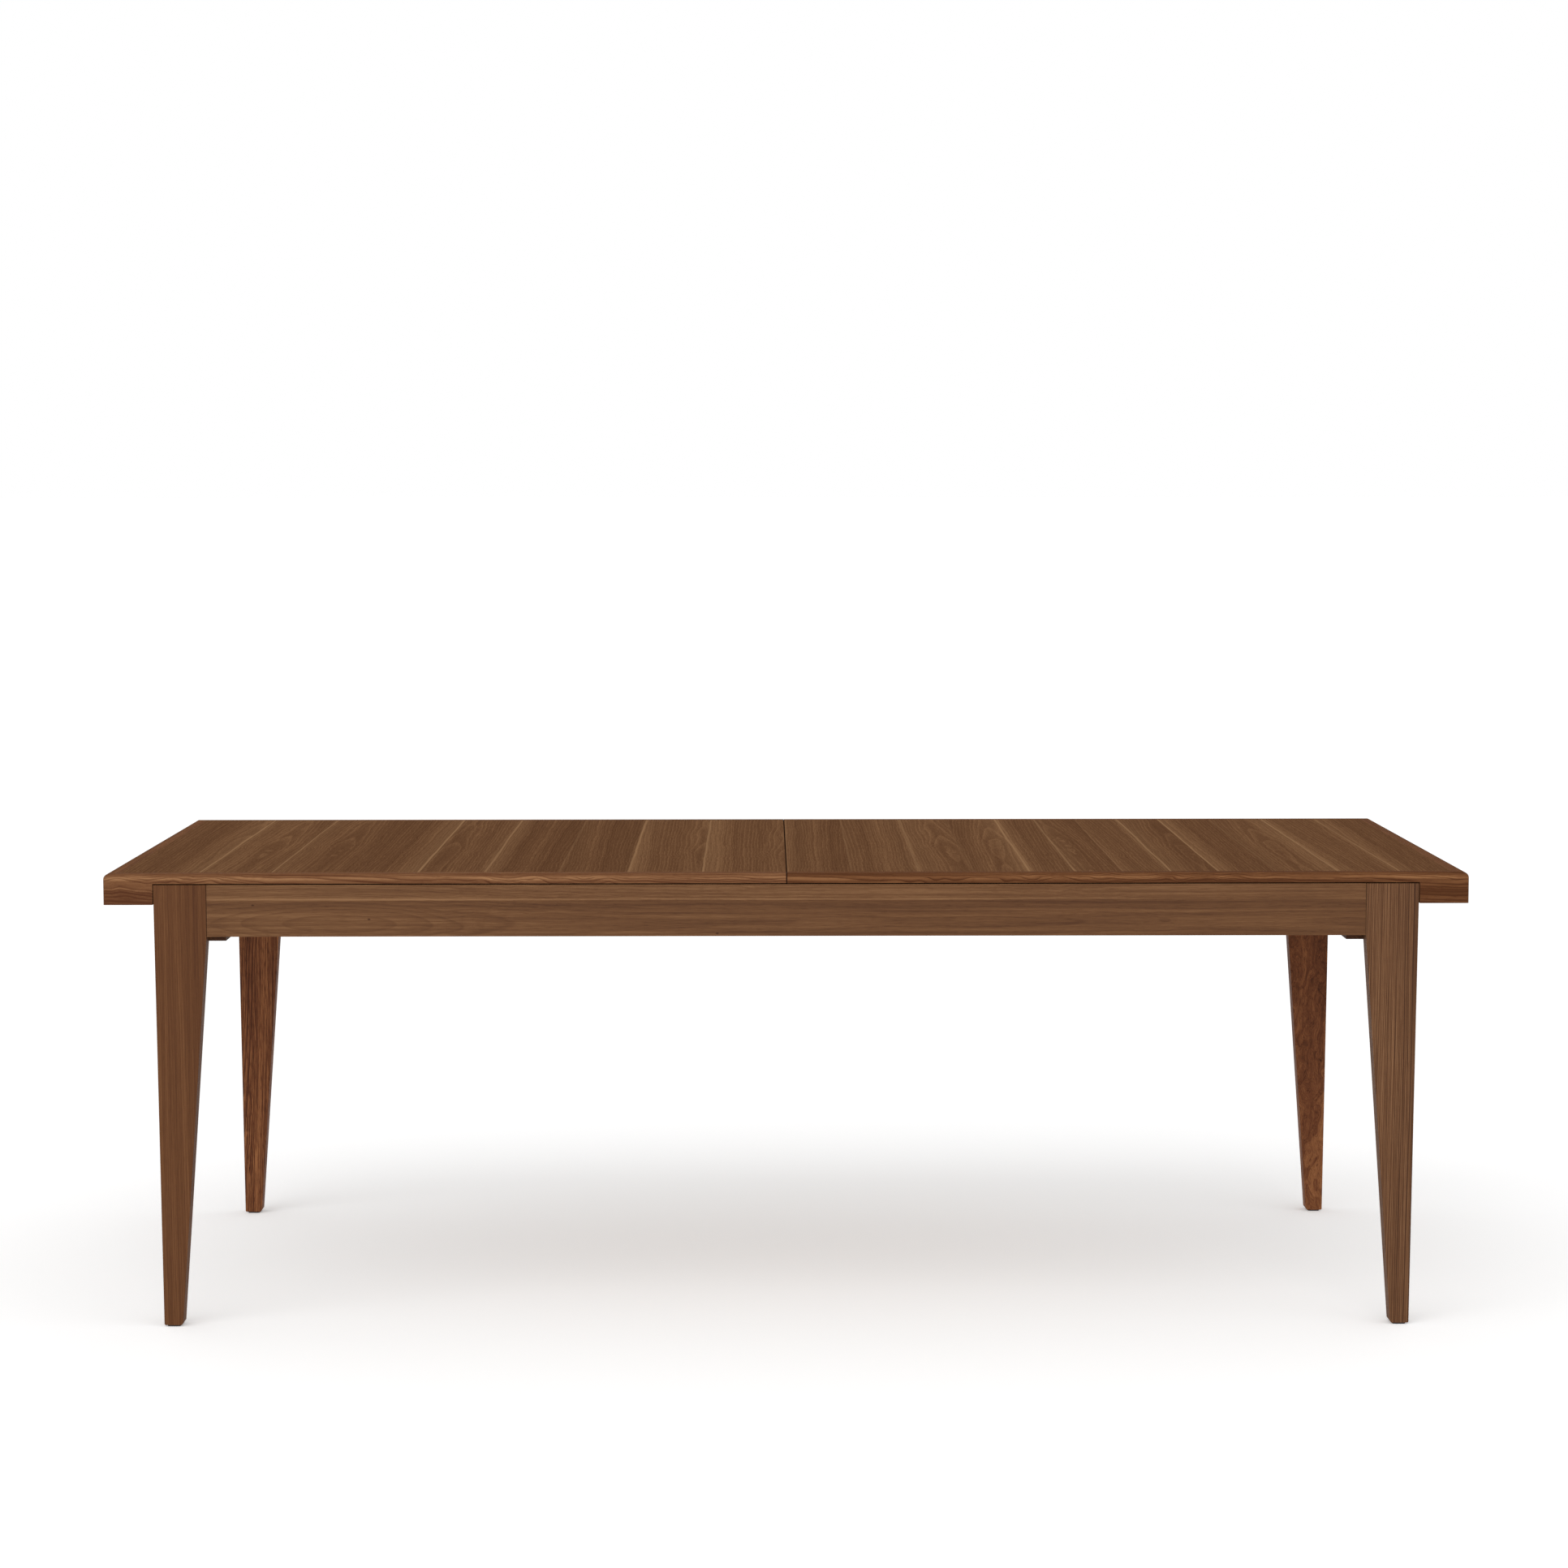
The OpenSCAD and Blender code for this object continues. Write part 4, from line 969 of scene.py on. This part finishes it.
# %% Beech, nylon, steel and felt
def simple_material(name, shades, cells, rough, bump, metal=0.0, gloss=0.4):
    """Two shades mottled by noise with so many cells a metre along x, y and z. Rough
    is the roughness of the first shade and of the second."""
    made, tree, shader = start_material(name)
    place = put(tree, "ShaderNodeTexCoord").outputs["Object"]
    mottle = noise(tree, place, cells, seed=1.0, detail=3.0, rough=0.6)[0]
    mask = smooth(tree, mottle, start=0.3, stop=0.7)
    tree.links.new(mix(tree, mask, *[srgb(*shade) for shade in shades]),
                   shader.inputs["Base Color"])
    tree.links.new(madd(tree, mask, rough[1] - rough[0], rough[0]), shader.inputs["Roughness"])
    raise_relief(tree, shader, mottle, bump)
    shader.inputs["Metallic"].default_value = metal
    shader.inputs["Specular IOR Level"].default_value = gloss
    return made


BEECH = ((196, 154, 108), (216, 178, 132))
# Two shades, cells a metre, roughness, bump, and for some the metal and the gloss.
FINISH = {name: simple_material(name, *values) for name, values in {
    "beech_lengthwise": (BEECH, (5.0, 260.0, 260.0), (0.5, 0.6), 0.2),
    "beech_crosswise": (BEECH, (260.0, 5.0, 260.0), (0.5, 0.6), 0.2),
    "pale_nylon": (((222, 217, 203), (232, 228, 216)), (90.0, 90.0, 90.0), (0.42, 0.55), 0.1),
    "dark_nylon": (((38, 34, 32), (52, 47, 44)), (300.0, 300.0, 300.0), (0.5, 0.65), 0.3),
    "zinc_steel": (((168, 172, 178), (200, 203, 206)), (400.0, 400.0, 400.0), (0.28, 0.42), 0.1,
                   1.0),
    "felt": (((48, 47, 46), (78, 76, 73)), (1500.0, 1500.0, 1500.0), (0.9, 1.0), 0.8, 0.0, 0.1),
}.items()}
slots = {part["node"]: part["material_slot"] for part in frame["record"]["subparts"]}
for name, solid in nodes.items():
    if slots[name] == "beech":
        dress(solid, FINISH["beech_crosswise" if "bearer" in name else "beech_lengthwise"])
    elif slots[name] in FINISH:
        dress(solid, FINISH[slots[name]])
dress(glides, FINISH["dark_nylon"])
for piece in screws:
    dress(piece, FINISH["zinc_steel"])
print("materials:", len(bpy.data.materials))

# %% [markdown]
# The floor is a plain pale disc, so wide that its far edge meets the white
# background on the horizon. What the camera sees of it is lifted to white, and the
# shadow stays. From below it can be looked through, at the underside of the table.

# %% Floor
FLOOR_R, FLOOR_LIFT = 400.0, 0.26


def floor_disc(radius, steps=96):
    """A flat disc in the plane z = 0: x = r cos t, y = r sin t."""
    t = full_turn(steps)
    points = np.stack([radius * np.cos(t), radius * np.sin(t), 0 * t], axis=1)
    return add_mesh("floor", points.tolist(), [list(range(steps))])


floor = floor_disc(FLOOR_R)
floor_paint, tree, shader = start_material("floor_paint")
shader.inputs["Base Color"].default_value = (0.96, 0.96, 0.96, 1.0)
shader.inputs["Roughness"].default_value = 0.9
shader.inputs["Specular IOR Level"].default_value = 0.0
shader.inputs["Emission Color"].default_value = (1.0, 1.0, 1.0, 1.0)
seen = put(tree, "ShaderNodeLightPath").outputs["Is Camera Ray"]
tree.links.new(calc(tree, "MULTIPLY", seen, FLOOR_LIFT), shader.inputs["Emission Strength"])
below = put(tree, "ShaderNodeNewGeometry").outputs["Backfacing"]
cover = put(tree, "ShaderNodeMixShader", {0: below, 1: shader.outputs[0],
                                          2: put(tree, "ShaderNodeBsdfTransparent").outputs[0]})
tree.links.new(cover.outputs[0], tree.nodes["Material Output"].inputs["Surface"])
floor.data.materials.append(floor_paint)
print("floor radius", FLOOR_R, "m")

# %% [markdown]
# The light is that of a white studio: an even glow from all round, and two broad
# lamps without falloff, one from the front left and a weaker one from the right.
# Together they give a level face about as much light as makes it look as painted.

# %% Light
def lamp(name, strength, spread_deg, direction):
    """A sun lamp with a wide disc, shining along a direction (x, y, z): it tips down
    by the angle whose cosine is -z, and turns by that whose tangent is -x / y."""
    light = bpy.data.lights.new(name, "SUN")
    light.energy = strength
    light.angle = math.radians(spread_deg)
    holder = bpy.data.objects.new(name, light)
    scene.collection.objects.link(holder)
    x, y, z = np.array(direction) / np.linalg.norm(direction)
    holder.rotation_euler = (math.acos(-z), 0, math.atan2(-x, y))
    print(name, "lamp, strength", strength)


GLOW = 0.62
lamp("key", strength=1.1, spread_deg=70, direction=(0.4, 0.9, -0.6))
lamp("fill", strength=0.5, spread_deg=90, direction=(-0.6, 0.8, -0.4))
world = bpy.data.worlds.new("studio")
scene.world = world
world.use_nodes = True
tree = world.node_tree
glow = tree.nodes["Background"]
glow.inputs["Color"].default_value = (1.0, 1.0, 1.0, 1.0)
path = put(tree, "ShaderNodeLightPath").outputs
seen = calc(tree, "ADD", calc(tree, "ADD", path["Is Camera Ray"], path["Is Glossy Ray"]),
            path["Is Transmission Ray"], clamp=True)
tree.links.new(madd(tree, seen, 1.0 - GLOW, GLOW), glow.inputs["Strength"])

# %% [markdown]
# The camera stands over six metres in front of the table, a little above the top,
# with a long lens. Its place was found by fitting the table's edges to the picture.

# %% Camera
FOCAL_PX, PHOTO_PX = 4429.2, 1932
EYE, PAN, DOWN, ROLL = (-0.03352, -6.23016, 1.36176), -0.0051, 0.0828, -0.0009
lens = bpy.data.cameras.new("camera")
lens.sensor_width = 36.0
lens.lens = FOCAL_PX * lens.sensor_width / PHOTO_PX
lens.clip_end = 1000.0
camera = bpy.data.objects.new("camera", lens)
scene.collection.objects.link(camera)
camera.matrix_world = (Matrix.Translation(EYE) @ Matrix.Rotation(PAN, 4, "Z")
                       @ Matrix.Rotation(math.pi / 2 - DOWN, 4, "X")
                       @ Matrix.Rotation(ROLL, 4, "Z"))
scene.camera = camera
scene.view_settings.view_transform = "Standard"
print("focal length", round(lens.lens, 2), "mm")
